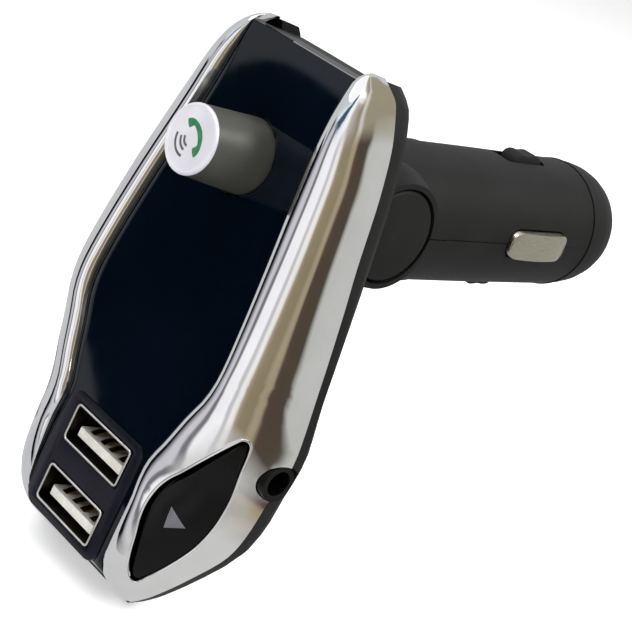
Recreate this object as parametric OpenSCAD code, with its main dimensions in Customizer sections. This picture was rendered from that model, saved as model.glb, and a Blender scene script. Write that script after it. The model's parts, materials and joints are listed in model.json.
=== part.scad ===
// Car FM transmitter: a tilting display head on a power socket plug.
// The plug lies along +Y, its tip at the far end. The head is drawn in its own frame, x right, y back
// and z up with the display near y = 0, and in_head() then leans it on the hinge.

/* [Plug] */
// Diameter of the parallel stretch of the barrel
plug_d = 20.2; // [19.6:0.1:21]
// Length of the barrel from the shoulder to the nose seam
barrel_len = 33.5; // [32.5:0.5:38]
// Share of the barrel that is parallel, before the contacts
parallel_share = 0.38806; // [0.36:0.01:0.39]
// Draft of the stretch that carries the contacts, on the radius
barrel_draft = 0.15; // [0.05:0.05:0.3]
// Height of the shoulder step, on the radius
shoulder_step = 0.2; // [0.18:0.02:0.3]
// Wall of the two plug shells
plug_wall = 1.7; // [1.4:0.1:1.9]
// Width of the groove where the two shells meet
parting_groove = 0.16; // [0.1:0.02:0.3]
// Length of the nose cap
nose_len = 9.5; // [8:0.5:11]
// How far the tip contact stands out of the nose
tip_reach = 3.6; // [3:0.1:4]
// Share of the barrel's length that a side contact takes
contact_share = 0.385; // [0.33:0.005:0.39]
// Height of a side contact
contact_h = 4.2; // [3.6:0.1:4.6]
// How far a side contact stands proud of the barrel
contact_proud = 1.3; // [1:0.05:1.5]
// Share of the barrel's length that a grip pad takes
pad_share = 0.27; // [0.24:0.005:0.3]
// Width of a grip pad
pad_w = 3.8; // [3:0.1:5]
// How far a grip pad stands proud of the barrel
pad_proud = 0.9; // [0.6:0.05:1.2]
// Diameter of the glass fuse
fuse_d = 5.2; // [5:0.1:5.4]
// Share of the barrel's length that the glass fuse takes
fuse_share = 0.597; // [0.56:0.01:0.62]

/* [Hinge] */
// Lean of the head against the plug as photographed, in degrees
rest_tilt = 8.58; // [0:0.1:12]
// Distance from the hinge axis to the shoulder of the barrel
hinge_back = 11; // [10.8:0.1:12]
// Radius of the round front of the fork
drum_r = 9.6; // [9.4:0.05:9.8]
// Radius of the round end of the tongue
tongue_r = 8.3; // [7.5:0.1:8.4]
// Width of the tongue
tongue_w = 8.4; // [7:0.1:9]
// Height of the tongue's neck
neck_h = 10.8; // [9:0.1:11]
// Thickness of a friction washer
washer_t = 0.7; // [0.5:0.05:0.9]
// Radius of the hinge screw's shank
pin_r = 2; // [1.6:0.1:2.2]
// Radius of the round hinge cap
cap_r = 6.8; // [6.4:0.1:7]
// Distance from the middle of the object to a hinge cap's face
cap_reach = 10.25; // [10:0.05:10.4]

/* [Head] */
// Height of the head
head_h = 78.5; // [74:0.5:84]
// Greatest width of the head
head_w = 47.4; // [44:0.2:50]
// Depth that the head's curves are drawn to
head_depth = 14.2; // [13.8:0.1:15]
// Height of the head's top above the middle line of the knob's panel
head_top = 20.4; // [19:0.1:21]
// Share of the head's width that the display face takes at its widest
face_share = 0.6287; // [0.6:0.005:0.66]
// Wall of the rear housing
housing_wall = 1.5; // [1.3:0.1:1.7]
// Wall of the chromed trims
trim_wall = 1.5; // [1.2:0.1:1.8]
// Thickness of the display window
window_t = 1; // [0.8:0.1:1.2]
// Wall of the front bezel
bezel_wall = 1.2; // [1:0.1:1.4]
// Clearance between neighbouring mouldings
fit_gap = 0.15; // [0.1:0.01:0.2]

/* [Knob] */
// Height of the knob's axis
knob_z = 3.34; // [2:0.1:5]
// Radius of the knob at its face
knob_r = 4.67; // [4.2:0.05:5]
// Radius of the knob at its foot
knob_foot_r = 5.25; // [4.9:0.05:5.3]
// Distance of the knob's face in front of the display plane
knob_reach = 9.16; // [8:0.1:11]
// Travel of the knob when pressed
knob_travel = 0.6; // [0.3:0.05:0.7]
// Radius of the encoder's shaft
shaft_r = 3; // [2.8:0.05:3.1]
// Side of the encoder's square body
encoder_side = 11.6; // [11:0.1:12]

/* [Ports and buttons] */
// Width of a USB socket shell
usb_w = 13.1; // [13:0.05:13.3]
// Height of a USB socket shell
usb_h = 5.7; // [5.6:0.05:5.8]
// Height of the upper socket's middle above the head's bottom
usb_rise = 17.6; // [17:0.1:18]
// Distance between the two sockets
usb_pitch = 9.4; // [9.2:0.1:9.8]
// Share of the head's depth that a USB socket shell takes
usb_depth_share = 0.7676; // [0.74:0.005:0.77]
// Sheet of a USB socket shell
usb_sheet = 0.35; // [0.3:0.05:0.4]
// Radius of the audio jack's bore
jack_r = 1.8; // [1.78:0.01:1.85]
// Depth of the audio jack's bore
jack_depth = 12.5; // [11:0.5:13]
// Height of the audio jack's axis above the head's bottom
jack_rise = 26.6; // [26:0.1:27]
// Travel of a side button
button_travel = 0.3; // [0.2:0.05:0.4]
// Share of the head's height that a side button takes
button_h_share = 0.3057; // [0.28:0.005:0.32]
// Share of the room beside the display that a side button takes
button_w_share = 0.773; // [0.68:0.01:0.8]

/* [Hidden] */
$fn = 64;

// Overrun of every cut, and a length beyond the whole object
over = plug_d / 20;
beyond = head_h * 2;
// Gaps between seated pieces, round what turns or slides, and round fixed pins
seat_gap = 0.05;
run_gap = 0.05;
pin_gap = 0.02;

// Barrel of the plug
plug_r = plug_d / 2;
bore_r = plug_r - plug_wall;
tail_r = plug_r - barrel_draft;
parallel_len = parallel_share * barrel_len;
contact_len = contact_share * barrel_len;
pad_len = pad_share * barrel_len;
fuse_len = fuse_share * barrel_len;
web_y = 2;                      // where the hollow of the barrel starts
spigot_len = 2.6;               // stretch of the shells that the nose cap screws onto
spigot_in = 0.8;
spigot_r = tail_r - spigot_in;
spigot_end_y = barrel_len + spigot_len;
rib_t = 1.2;                    // ribs that hold the fuse sleeve

// Sprung contacts and pads in their slots
slot_gap = 0.25;
slot_margin = 0.6;
slot_corner = 1;
pill_flat = 0.3;                // half of the straight stretch at a pill's end
slot_mid_y = parallel_len + slot_margin + slot_gap + contact_len / 2;
flange_t = 0.8;                 // flange that keeps a sprung piece in
flange_edge = 0.4;
flange_gap = 0.35;
flange_side = 0.8;
contact_edge = 0.5;             // how far a contact's ends stand above the barrel's skin
contact_flange_h = contact_h + 2 * (slot_gap + flange_edge);
contact_flange_x = sqrt(pow(bore_r - flange_gap, 2) - pow(contact_flange_h / 2, 2));
pad_flange_w = pad_w + 2 * flange_side;
pad_flange_z = sqrt(pow(bore_r - flange_gap, 2) - pow(pad_flange_w / 2, 2));
pad_shift = 0.9;
pad_mid_y = slot_mid_y + pad_shift;
pad_dome_r = 9;
pad_corner = 0.8;

// Nose cap and tip contact
nose_wall = 1.8;
nose_step = 1.6;
nose_taper = 2;
nose_floor_y = barrel_len + nose_len - nose_wall;
tip_r = 2.3;
tip_gap = 0.1;
tip_flange_r = 3.4;
tip_flange_t = 1.1;
tip_round = 1.15;
tip_seat_y = nose_floor_y - tip_gap;

// Fuse, its spring and its sleeve
fuse_cap_len = 5;
fuse_cap_t = 0.6;
fuse_cap_wall = 0.25;
glass_wall = 0.65;
spring_wire_r = 0.3;
spring_turns = 5;
spring_side_gap = 0.3;
spring_room = 6.5;
sleeve_gap = 0.25;
sleeve_wall = 1.3;
sleeve_base_t = 1.6;
sleeve_bore_r = fuse_d / 2 + sleeve_gap;
sleeve_r = fuse_d / 2 + sleeve_wall;
sleeve_end_y = barrel_len - nose_step;
fuse_front_y = tip_seat_y - tip_flange_t;
fuse_back_y = fuse_front_y - fuse_len;
sleeve_floor_y = fuse_back_y - spring_room;
sleeve_base_y = sleeve_floor_y - sleeve_base_t;
front_rib_y = sleeve_base_y - slot_gap;
rear_rib_y = sleeve_end_y - 2 * rib_t;

// Power board in the plug
plug_board_z = -2;
plug_board_w = 14;
plug_board_t = 1.2;
plug_board_gap = 0.2;
plug_parts_y = (web_y + front_rib_y) / 2;
coil_x = -3.6;
coil_r = 2.2;
coil_flange_r = 3;
coil_flange_t = 1;
coil_h = 4.4;
can_x = 3.5;
can_r = 2.8;
can_foot_r = 3.1;
can_foot_t = 0.6;
can_h = 6;

// Hinge
tongue_gap = 0.1;
slot_half = tongue_w / 2 + washer_t + tongue_gap;
floor_gap = 0.4;
floor_r = tongue_r + floor_gap;
collar_r = 9.2;                 // raised ring that the hinge cap sits in
collar_foot_x = 6.6;
collar_rim_r = 7.9;
cap_seat_x = 8.7;
cap_gap = 0.35;
cap_edge = 0.5;
screw_head_r = 3.6;
screw_head_t = 1.3;
head_gap = 0.1;                 // round the screw's head and the nut
screw_slot_w = 0.8;
nut_across = 6.4;
nut_t = 1.1;
washer_r = 4.4;
wire_hole_r = 1.4;

// Head frame: the hinge axis seen from the display plane and the knob's panel
hinge_stand = 9;                // from the back of the head's curves to the hinge axis
hinge_y = head_depth + hinge_stand;
hinge_z = 0.9;
face_w = face_share * head_w;
face_half = face_w / 2;
outer_half = head_w / 2;
head_bottom = head_top - head_h;
board_share = 0.60563;
board_y = board_share * head_depth; // front of the main board
board_t = 1;
board_back_y = board_y + board_t;
board_margin = 2.8;
board_gap = 0.2;
chip_w = 7;
chip_t = 1.2;
chip_x = 3;
chip_share = 0.4127;
chip_z = head_top - chip_share * head_h;

// Trims
ridge_in = 1.5;                 // from the window's edge to the crest of a trim
trim_leg = 1.1;
trim_seat = 2;                  // how far a trim's inner leg reaches behind the face
lip_drop = 0.2;
lip_steps = 3;
cheek_steps = 8;

// Knob and encoder
knob_hole_gap = 0.35;
knob_hole_r = knob_foot_r + knob_hole_gap;
knob_foot_y = 1.25;
knob_rim = 0.35;
knob_band_z = 1.1;              // where the foot's step starts
knob_band_w = 1.5;
knob_band_in = 0.32;
knob_face_t = 0.5;
knob_face_dip = 0.1;            // how far the cap's face lies behind its rim
knob_cap_t = 1.4;
knob_hollow = 4.8;
encoder_y = 3.7;
bushing_reach = 2.2;
bushing_wall = 0.5;
bushing_gap = 0.2;
bushing_r = shaft_r + bushing_wall;
rotor_y = 4.9;
rotor_t = 1.4;
rotor_r = 4.7;
rotor_gap = 0.1;
shaft_end_gap = 0.2;
flat_share = 0.8;

// Sockets and the raised plate round them
usb_upper_z = head_bottom + usb_rise;
usb_depth = usb_depth_share * head_depth;
plate_share = 0.584;
plate_w = plate_share * face_w;
plate_rim = 1.35;
plate_top_z = usb_upper_z + usb_h / 2 + plate_rim;
plate_bottom_z = usb_upper_z - usb_pitch - usb_h / 2 - plate_rim;
plate_corner = 2;
plate_t = 1.3;
plate_gap = 0.06;
port_y = -0.6;                  // front of the socket plate
port_lip = 0.05;
port_gap = 0.08;
port_back_y = port_y - port_lip + usb_depth;
usb_tongue_w = 11.2;
usb_tongue_t = 1.9;
usb_tongue_in = 0.9;
usb_tongue_drop = 0.6;
usb_root_t = 1.2;

// Audio jack
jack_lift = 0.6;                // of the jack's axis behind the front of the board
jack_y = board_y + jack_lift;
jack_z = head_bottom + jack_rise;
jack_sink = 0.7;
jack_face_x = outer_half - jack_sink;
jack_ring_r = 2.6;
jack_ring_len = 3.8;
jack_body_len = 10.2;
jack_body_h = 6.2;
jack_body_t = 4.6;
jack_wall = 1.2;
jack_back_x = jack_face_x - jack_depth - jack_wall;

// Housing screws, each place as [x, z]
screw_r = 0.9;
screw_cap_r = 1.8;
screw_cap_t = 0.9;
screw_sink = 1.6;
screw_gap = 0.2;
screw_lead = 0.4;               // room in front of a screw's point
boss_r = 2.2;
bezel_boss_r = 1.9;
screw_side_gap = 0.5;           // between the jack and the boss beside it
upper_screw_share = 0.51;
upper_screw_drop = 6.5;
lower_screw_rise = 26.5;
upper_screw_x = upper_screw_share * face_half;
upper_screw_z = head_top - upper_screw_drop;
lower_screw_x = jack_back_x - boss_r - screw_side_gap;
lower_screw_z = head_bottom + lower_screw_rise;
screw_places = [[-upper_screw_x, upper_screw_z], [upper_screw_x, upper_screw_z],
    [-lower_screw_x, lower_screw_z], [lower_screw_x, lower_screw_z]];

// Display behind the window
screen_share = 0.617;
screen_drop = 12.14;            // from the knob's axis to the top of the display
screen_lift = 5.2;              // from the lower screws to its bottom
screen_w = screen_share * face_w;
screen_top_z = knob_z - screen_drop;
screen_bottom_z = lower_screw_z + screen_lift;
screen_gap = 0.25;
window_soft = 0.25;

// Card slot
card_share = 0.4828;
card_mouth_share = 0.76;        // of the housing's half width inside, to the pocket's mouth
card_z = head_top - card_share * head_h;
card_w = 11.2;
card_t = 0.8;
card_gap = 0.15;
card_depth = 9;
card_sheet = 0.2;
card_side = 0.8;
card_floor = 0.2;
card_y = board_back_y + seat_gap + card_floor + card_t / 2;

// Microphone over the sound hole
mic_r = 1.4;
mic_h = 1.6;
mic_share = 0.555;
mic_y = mic_share * head_depth;
mic_hole_r = 0.5;

// Side buttons and their switches
button_x_share = 0.654;
button_z_share = 0.7796;
button_h = button_h_share * head_h;
button_w = button_w_share * (outer_half - face_half);
button_mid_x = button_x_share * outer_half;
button_mid_z = head_top - button_z_share * head_h;
button_inset = 0.35;
button_skin = 1.5;
button_gap = 0.2;
button_post_r = 1.1;
button_play = 0.2;              // kept between a pressed button and what lies behind it
switch_share = 0.5907;
switch_x = switch_share * outer_half;
switch_z = button_mid_z;
switch_side = 4;
switch_depth = 1.5;
switch_stem_r = 0.8;
stem_proud = 0.5;
stem_in = 0.8;
stem_front_y = board_y - seat_gap - switch_depth - stem_proud;

// Curves of the head, each a list of [share of the height from the top, share of its own size]
outer_shares = [[0, 0.46], [0.012, 0.505], [0.028, 0.555], [0.066, 0.625], [0.096, 0.67], [0.14, 0.717],
    [0.19, 0.762], [0.285, 0.828], [0.353, 0.873], [0.478, 0.945], [0.605, 0.998], [0.65, 0.99],
    [0.694, 0.966], [0.76, 0.945], [0.822, 0.895], [0.898, 0.768], [0.95, 0.645], [0.98, 0.55], [1, 0.47]];
face_shares = [[0, 0.7], [0.032, 0.712], [0.172, 0.772], [0.338, 0.899], [0.452, 0.973], [0.53, 1],
    [0.575, 0.965], [0.618, 0.872], [0.678, 0.765], [0.722, 0.676], [0.76, 0.66], [0.796, 0.678],
    [0.898, 0.655], [0.962, 0.624], [1, 0.58]];
face_depth_shares = [[0, 0.135], [0.032, 0.113], [0.172, 0.065], [0.338, 0.015], [0.52, -0.02],
    [0.7, -0.02], [0.925, -0.02], [0.94, 0], [0.955, 0.08], [0.97, 0.24], [1, 0.5]];
ridge_shares = [[0, 0.3], [0.005, 0.225], [0.014, 0.15], [0.03, 0.08], [0.05, 0.025], [0.09, -0.03],
    [0.172, -0.065], [0.338, -0.115], [0.52, -0.15], [0.65, -0.145], [0.76, -0.13], [0.86, -0.1],
    [0.915, -0.04], [0.95, 0.07], [0.975, 0.2], [0.99, 0.32], [1, 0.42]];
parting_shares = [[0, 0.46], [0.03, 0.555], [0.285, 0.556], [0.365, 0.578], [0.5, 0.613], [0.63, 0.665],
    [0.72, 0.65], [0.82, 0.63], [0.885, 0.5], [0.925, 0.444], [0.975, 0.43], [1, 0.46]];
side_shares = [[0, 0.7], [0.03, 0.79], [0.1, 0.796], [0.5, 0.81], [0.63, 0.9], [0.8, 0.92], [0.87, 0.78],
    [0.92, 0.67], [0.97, 0.62], [1, 0.6]];
back_shares = [[0, 0.76], [0.03, 0.85], [0.1, 0.887], [0.4, 0.894], [0.52, 0.945], [0.63, 0.99], [0.86, 1],
    [0.93, 0.92], [0.975, 0.78], [1, 0.66]];
bulge_shares = [[0, 0.62], [0.2, 0.62], [0.5, 0.56], [0.64, 0.42], [0.8, 0.3], [0.95, 0.4], [1, 0.5]];
station_shares = [0, 0.004, 0.01, 0.018, 0.03, 0.045, 0.066, 0.096, 0.14, 0.19, 0.24, 0.285, 0.33, 0.38,
    0.43, 0.478, 0.515, 0.545, 0.575, 0.605, 0.635, 0.665, 0.695, 0.72, 0.745, 0.775, 0.81, 0.845, 0.88, 0.91,
    0.93, 0.945, 0.96, 0.972, 0.984, 0.993, 1];
// Outline of a side button, seen from the front: [share of its width, share of its height] from its middle
button_shares = [[0.46, 0.5], [0.5, 0.42], [0.5, 0.3], [0.48, 0.16], [0.42, 0], [0.28, -0.18], [0.02, -0.34],
    [-0.26, -0.49], [-0.36, -0.48], [-0.5, -0.13], [-0.47, 0.01], [-0.42, 0.07], [-0.3, 0.14], [-0.02, 0.26],
    [0.36, 0.49]];
// Corner of the rear housing: [share of the half width, share of the way from its side to its back]
corner_shares = [[0.86, 0.45], [0.68, 0.82], [0.4, 1]];
// Outline of the nose cap: [share of its length, share of the barrel's end radius]
nose_shares = [[0, 1], [0.22, 0.985], [0.42, 0.955], [0.6, 0.9], [0.75, 0.83], [0.88, 0.745], [0.96, 0.67],
    [1, 0.6]];

// Index of the stretch of a curve that holds a share
function stretch(t, u, i = 0) = i >= len(t) - 2 || u <= t[i + 1][0] ? i : stretch(t, u, i + 1);
// Slope of a curve at one of its points
function slope(t, i) = let(a = max(i - 1, 0), b = min(i + 1, len(t) - 1))
    (t[b][1] - t[a][1]) / (t[b][0] - t[a][0]);
// Smooth curve through the points of a list
function smooth(t, u) = let(i = stretch(t, u), h = t[i + 1][0] - t[i][0], s = (u - t[i][0]) / h)
    t[i][1] * (1 + 2 * s) * pow(1 - s, 2) + t[i + 1][1] * s * s * (3 - 2 * s)
    + h * slope(t, i) * s * pow(1 - s, 2) + h * slope(t, i + 1) * s * s * (s - 1);
function height_at(u) = head_top - u * head_h;
function outer_x(u) = smooth(outer_shares, u) * outer_half;
function face_x(u) = smooth(face_shares, u) * face_half;
function face_y(u) = smooth(face_depth_shares, u) * head_depth;
function ridge_y(u) = smooth(ridge_shares, u) * head_depth;
function parting_y(u) = smooth(parting_shares, u) * head_depth;
function side_y(u) = smooth(side_shares, u) * head_depth;
function back_y(u) = smooth(back_shares, u) * head_depth;

// Point, and inward unit normal, of a cubic curve through four control points
function curve(p, t) = p[0] * pow(1 - t, 3) + p[1] * 3 * t * pow(1 - t, 2) + p[2] * 3 * t * t * (1 - t)
    + p[3] * pow(t, 3);
function curve_in(p, t) = let(d = (p[1] - p[0]) * pow(1 - t, 2) + (p[2] - p[1]) * 2 * t * (1 - t)
    + (p[3] - p[2]) * t * t) [-d[1], d[0]] / norm(d);

// Closed skin through rings of equally many points. Seen from ahead of the run, each ring turns clockwise
module skin(rings) {
    n = len(rings[0]);
    m = len(rings);
    sides = [for (i = [0:m - 2], j = [0:n - 1]) let(a = i * n + j, b = i * n + (j + 1) % n)
        each [[a, b, a + n], [b, b + n, a + n]]];
    polyhedron([for (ring = rings) each ring],
        concat(sides, [[for (j = [n - 1:-1:0]) j], [for (j = [0:n - 1]) (m - 1) * n + j]]));
}
module along_y() { rotate([-90, 0, 0]) children(); }
module along_x() { rotate([0, 90, 0]) children(); }
module at_hinge() { translate([0, -hinge_back, 0]) children(); }
module in_head() { at_hinge() rotate([-rest_tilt, 0, 0]) translate([0, -hinge_y, -hinge_z]) children(); }
module both_sides() { children(); mirror([1, 0, 0]) children(); }
// A plate seen from the front of the head: x to the right, z up, from y0 to y1
module front_plate(y0, y1) { translate([0, y1, 0]) rotate([90, 0, 0]) linear_extrude(y1 - y0) children(); }
module block(low, high) { translate(low) cube(high - low); }
module rounded(w, h, r) {
    square([w - 2 * r, h], center = true);
    square([w, h - 2 * r], center = true);
    for (x = [-1, 1], y = [-1, 1]) translate([x * (w / 2 - r), y * (h / 2 - r)]) circle(r);
}

// The barrel with its fork, both shells together
module barrel() {
    difference() {
        union() {
            along_y() {
                cylinder(h = parallel_len, r = plug_r);
                translate([0, 0, parallel_len])
                    cylinder(h = barrel_len - parallel_len, r1 = plug_r, r2 = tail_r);
                cylinder(h = spigot_end_y, r = spigot_r);
            }
            difference() {
                translate([0, -hinge_back - drum_r, 0])
                    along_y() cylinder(h = hinge_back + drum_r, r = plug_r + shoulder_step);
                at_hinge() difference() {
                    block([-beyond, -beyond, -beyond], [beyond, 0, beyond]);
                    along_x() cylinder(h = beyond, r = drum_r, center = true);
                }
            }
            at_hinge() both_sides() along_x() {
                cylinder(h = collar_foot_x, r = collar_r);
                translate([0, 0, collar_foot_x])
                    cylinder(h = cap_reach - collar_foot_x, r1 = collar_r, r2 = collar_rim_r);
            }
        }
        fork_cuts();
        barrel_cuts();
    }
}

module fork_cuts() {
    at_hinge() {
        block([-slot_half, -beyond, -beyond], [slot_half, 0, beyond]);
        along_x() cylinder(h = 2 * slot_half, r = floor_r, center = true);
        along_x() cylinder(h = beyond, r = pin_r + pin_gap, center = true);
        both_sides() along_x() {
            translate([0, 0, cap_seat_x]) cylinder(h = plug_r, r = cap_r + cap_gap);
            translate([0, 0, cap_seat_x - screw_head_t - head_gap])
                cylinder(h = plug_r, r = screw_head_r + head_gap);
        }
    }
    along_y() translate([0, 0, -hinge_back]) cylinder(h = hinge_back + web_y + over, r = wire_hole_r);
}

module barrel_cuts() {
    along_y() difference() {
        translate([0, 0, web_y]) cylinder(h = beyond, r = bore_r);
        for (y = [front_rib_y, rear_rib_y]) translate([0, 0, y]) difference() {
            cylinder(h = rib_t, r = plug_r);
            translate([0, 0, -over]) cylinder(h = rib_t + 2 * over, r = sleeve_r + pin_gap);
        }
    }
    both_sides() contact_shape(contact_len + 2 * slot_gap, contact_h + 2 * slot_gap, plug_r + over);
    pad_slot();
    mirror([0, 0, 1]) pad_slot();
    both_sides() block([plug_r - parting_groove, cap_r - hinge_back, -parting_groove / 2],
        [plug_r + over, barrel_len, parting_groove / 2]);
}

module pad_slot() {
    translate([0, pad_mid_y, 0]) linear_extrude(plug_r + over)
        rounded(pad_w + 2 * slot_gap, pad_len + 2 * slot_gap, slot_corner);
}

// A pill standing along +X, which cuts the slot and trims the contact
module contact_shape(length, height, reach) {
    translate([0, slot_mid_y, 0]) along_x() linear_extrude(reach)
        rounded(height, length, height / 2 - pill_flat);
}

module plug_shell_lower() {
    color("#2c2e2c") intersection() {
        barrel();
        block([-beyond, -beyond, -beyond], [beyond, beyond, 0]);
    }
}

module plug_shell_upper() {
    color("#2f312f") intersection() {
        barrel();
        block([-beyond, -beyond, 0], [beyond, beyond, beyond]);
    }
}

module nose_cap() {
    mouth_r = spigot_r + seat_gap;
    mouth_y = spigot_end_y + slot_gap;
    hole_r = tip_r + tip_gap;
    color("#2a2c2a") translate([0, parting_groove / 2, 0]) along_y() rotate_extrude() polygon(concat(
        [for (s = nose_shares) [s[1] * tail_r, barrel_len + s[0] * nose_len]],
        [[hole_r, barrel_len + nose_len], [hole_r, nose_floor_y],
            [spigot_r - nose_step - nose_taper, nose_floor_y], [spigot_r - nose_step, mouth_y],
            [mouth_r, mouth_y], [mouth_r, barrel_len]]));
}

// The tip contact, the fuse behind it and the spring slide together
module tip_contact() {
    end_y = barrel_len + nose_len + tip_reach;
    color("silver") along_y() rotate_extrude() polygon(concat(
        [[0, fuse_front_y], [tip_flange_r, fuse_front_y], [tip_flange_r, tip_seat_y], [tip_r, tip_seat_y]],
        [for (a = [0:15:90]) [tip_r * cos(a), end_y - tip_round + tip_round * sin(a)]]));
}

module fuse_glass() {
    inner_len = fuse_len - 2 * fuse_cap_t;
    glass_r = fuse_d / 2 - fuse_cap_wall;
    color("lightcyan", 0.5) along_y() translate([0, 0, fuse_back_y + fuse_cap_t]) difference() {
        cylinder(h = inner_len, r = glass_r);
        translate([0, 0, -over]) cylinder(h = inner_len + 2 * over, r = glass_r - glass_wall);
    }
}

module fuse_cap() {
    difference() {
        cylinder(h = fuse_cap_len, r = fuse_d / 2);
        translate([0, 0, fuse_cap_t]) cylinder(h = fuse_cap_len, r = fuse_d / 2 - fuse_cap_wall);
    }
}

module fuse_caps() {
    color("silver") along_y() {
        translate([0, 0, fuse_back_y]) fuse_cap();
        translate([0, 0, fuse_front_y]) mirror([0, 0, 1]) fuse_cap();
    }
}

// Compression spring: an open helix with 6 sides
module fuse_spring() {
    turn_r = sleeve_bore_r - spring_wire_r - spring_side_gap;
    length = spring_room - 2 * (spring_wire_r + seat_gap);
    steps = spring_turns * 16;
    color("lightgray") translate([0, sleeve_floor_y + spring_wire_r + seat_gap, 0]) along_y() skin(
        [for (i = [0:steps]) let(a = 360 * spring_turns * i / steps) [for (j = [0:5])
            let(b = 60 * j, r = turn_r + spring_wire_r * cos(b))
            [r * cos(a), r * sin(a), length * i / steps + spring_wire_r * sin(b)]]]);
}

module fuse_sleeve() {
    color("#3a3a3a") along_y() difference() {
        translate([0, 0, sleeve_base_y]) cylinder(h = sleeve_end_y - sleeve_base_y, r = sleeve_r);
        translate([0, 0, sleeve_floor_y]) cylinder(h = barrel_len, r = sleeve_bore_r);
    }
}

module plug_board() {
    color("darkgreen") block([-plug_board_w / 2, web_y + plug_board_gap, plug_board_z - plug_board_t],
        [plug_board_w / 2, front_rib_y - plug_board_gap, plug_board_z]);
}

module power_coil() {
    color("#33302c") translate([coil_x, plug_parts_y, plug_board_z]) {
        cylinder(h = coil_flange_t, r = coil_flange_r);
        cylinder(h = coil_h, r = coil_r);
        translate([0, 0, coil_h - coil_flange_t]) cylinder(h = coil_flange_t, r = coil_flange_r);
    }
}

module power_capacitor() {
    color("#3d4654") translate([can_x, plug_parts_y, plug_board_z]) {
        cylinder(h = can_h, r = can_r);
        cylinder(h = can_foot_t, r = can_foot_r);
    }
}

// A sprung strip, domed from end to end, on +X
module side_contact() {
    crest_x = plug_r + contact_proud;
    half = contact_len / 2;
    rise = contact_proud - contact_edge;
    dome_r = (half * half + rise * rise) / (2 * rise);
    flange_len = contact_len + 2 * (slot_gap + flange_edge);
    intersection() {
        contact_shape(contact_len, contact_h, crest_x + over);
        translate([crest_x - dome_r, slot_mid_y, 0])
            cylinder(h = contact_h + over, r = dome_r, center = true);
        block([contact_flange_x - flange_t, -beyond, -beyond], [beyond, beyond, beyond]);
    }
    translate([contact_flange_x - flange_t, slot_mid_y - flange_len / 2, -contact_flange_h / 2])
        cube([flange_t, flange_len, contact_flange_h]);
}

module side_contact_right() { color("#b5b09f") side_contact(); }
module side_contact_left() { color("#b5b09f") mirror([1, 0, 0]) side_contact(); }

module grip_pad() {
    crest_z = plug_r + pad_proud;
    flange_len = pad_len + 2 * (slot_gap + flange_edge);
    intersection() {
        translate([0, pad_mid_y, 0]) linear_extrude(crest_z + over) rounded(pad_w, pad_len, pad_corner);
        translate([0, pad_mid_y, crest_z - pad_dome_r])
            along_x() cylinder(h = pad_w + over, r = pad_dome_r, center = true);
        block([-beyond, -beyond, pad_flange_z - flange_t], [beyond, beyond, beyond]);
    }
    translate([-pad_flange_w / 2, pad_mid_y - flange_len / 2, pad_flange_z - flange_t])
        cube([pad_flange_w, flange_len, flange_t]);
}

module grip_pad_top() { color("#1f201f") grip_pad(); }
module grip_pad_bottom() { color("#1f201f") mirror([0, 0, 1]) grip_pad(); }

// Shoulder screw of the hinge, its head on the right
module hinge_screw() {
    head_x = cap_seat_x - screw_head_t;
    color("lightgray") at_hinge() along_x() difference() {
        union() {
            translate([0, 0, head_gap - cap_seat_x]) cylinder(h = cap_seat_x + head_x, r = pin_r);
            translate([0, 0, head_x]) cylinder(h = screw_head_t, r = screw_head_r);
        }
        translate([0, 0, cap_seat_x]) for (a = [0, 90]) rotate(a)
            cube([screw_head_r, screw_slot_w, screw_head_t], center = true);
    }
}

module hinge_nut() {
    color("lightgray") at_hinge() mirror([1, 0, 0]) along_x() translate([0, 0, cap_seat_x - screw_head_t])
        difference() {
            cylinder(h = nut_t, r = nut_across / 2 / cos(30), $fn = 6);
            translate([0, 0, -over]) cylinder(h = nut_t + 2 * over, r = pin_r + pin_gap);
        }
}

module hinge_washers() {
    color("gainsboro") at_hinge() both_sides() along_x() translate([0, 0, tongue_w / 2 + seat_gap])
        difference() {
            cylinder(h = washer_t, r = washer_r);
            translate([0, 0, -over]) cylinder(h = washer_t + 2 * over, r = pin_r + pin_gap);
        }
}

// Round cap with a softened edge that hides the hinge screw
module hinge_cap() {
    at_hinge() along_x() rotate_extrude() polygon(concat(
        [[0, cap_seat_x + seat_gap], [cap_r, cap_seat_x + seat_gap]],
        [for (a = [0:15:90])
            [cap_r - cap_edge + cap_edge * cos(a), cap_reach - cap_edge + cap_edge * sin(a)]],
        [[0, cap_reach + seat_gap]]));
}

module hinge_cap_right() { color("#303230") hinge_cap(); }
module hinge_cap_left() { color("#303230") mirror([1, 0, 0]) hinge_cap(); }

// Right half of the rear housing's ring, its wall moved in by inset and its front edge moved out by front
function housing_half(u, inset, front) = let(x = outer_x(u) - inset, s = side_y(u) - 0.6 * inset,
    b = back_y(u) - inset, p = parting_y(u)) concat([[x, p - front], [x, (p + s) / 2], [0.95 * x, s]],
    [for (c = corner_shares) [c[0] * x, s + c[1] * (b - s)]]);
function housing_ring(u, inset, front) = let(h = housing_half(u, inset, front), n = len(h)) concat(
    [for (p = h) [p[0], p[1], height_at(u)]], [for (i = [n - 1:-1:0]) [-h[i][0], h[i][1], height_at(u)]]);
function share_at(z) = (head_top - z) / head_h;
function screw_seat(p) = back_y(share_at(p[1])) - screw_sink;
// Front of a bezel boss's hole, at the back of the bezel's plate
function screw_front(p) = face_y(share_at(p[1])) + window_t + seat_gap + bezel_wall;

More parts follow.
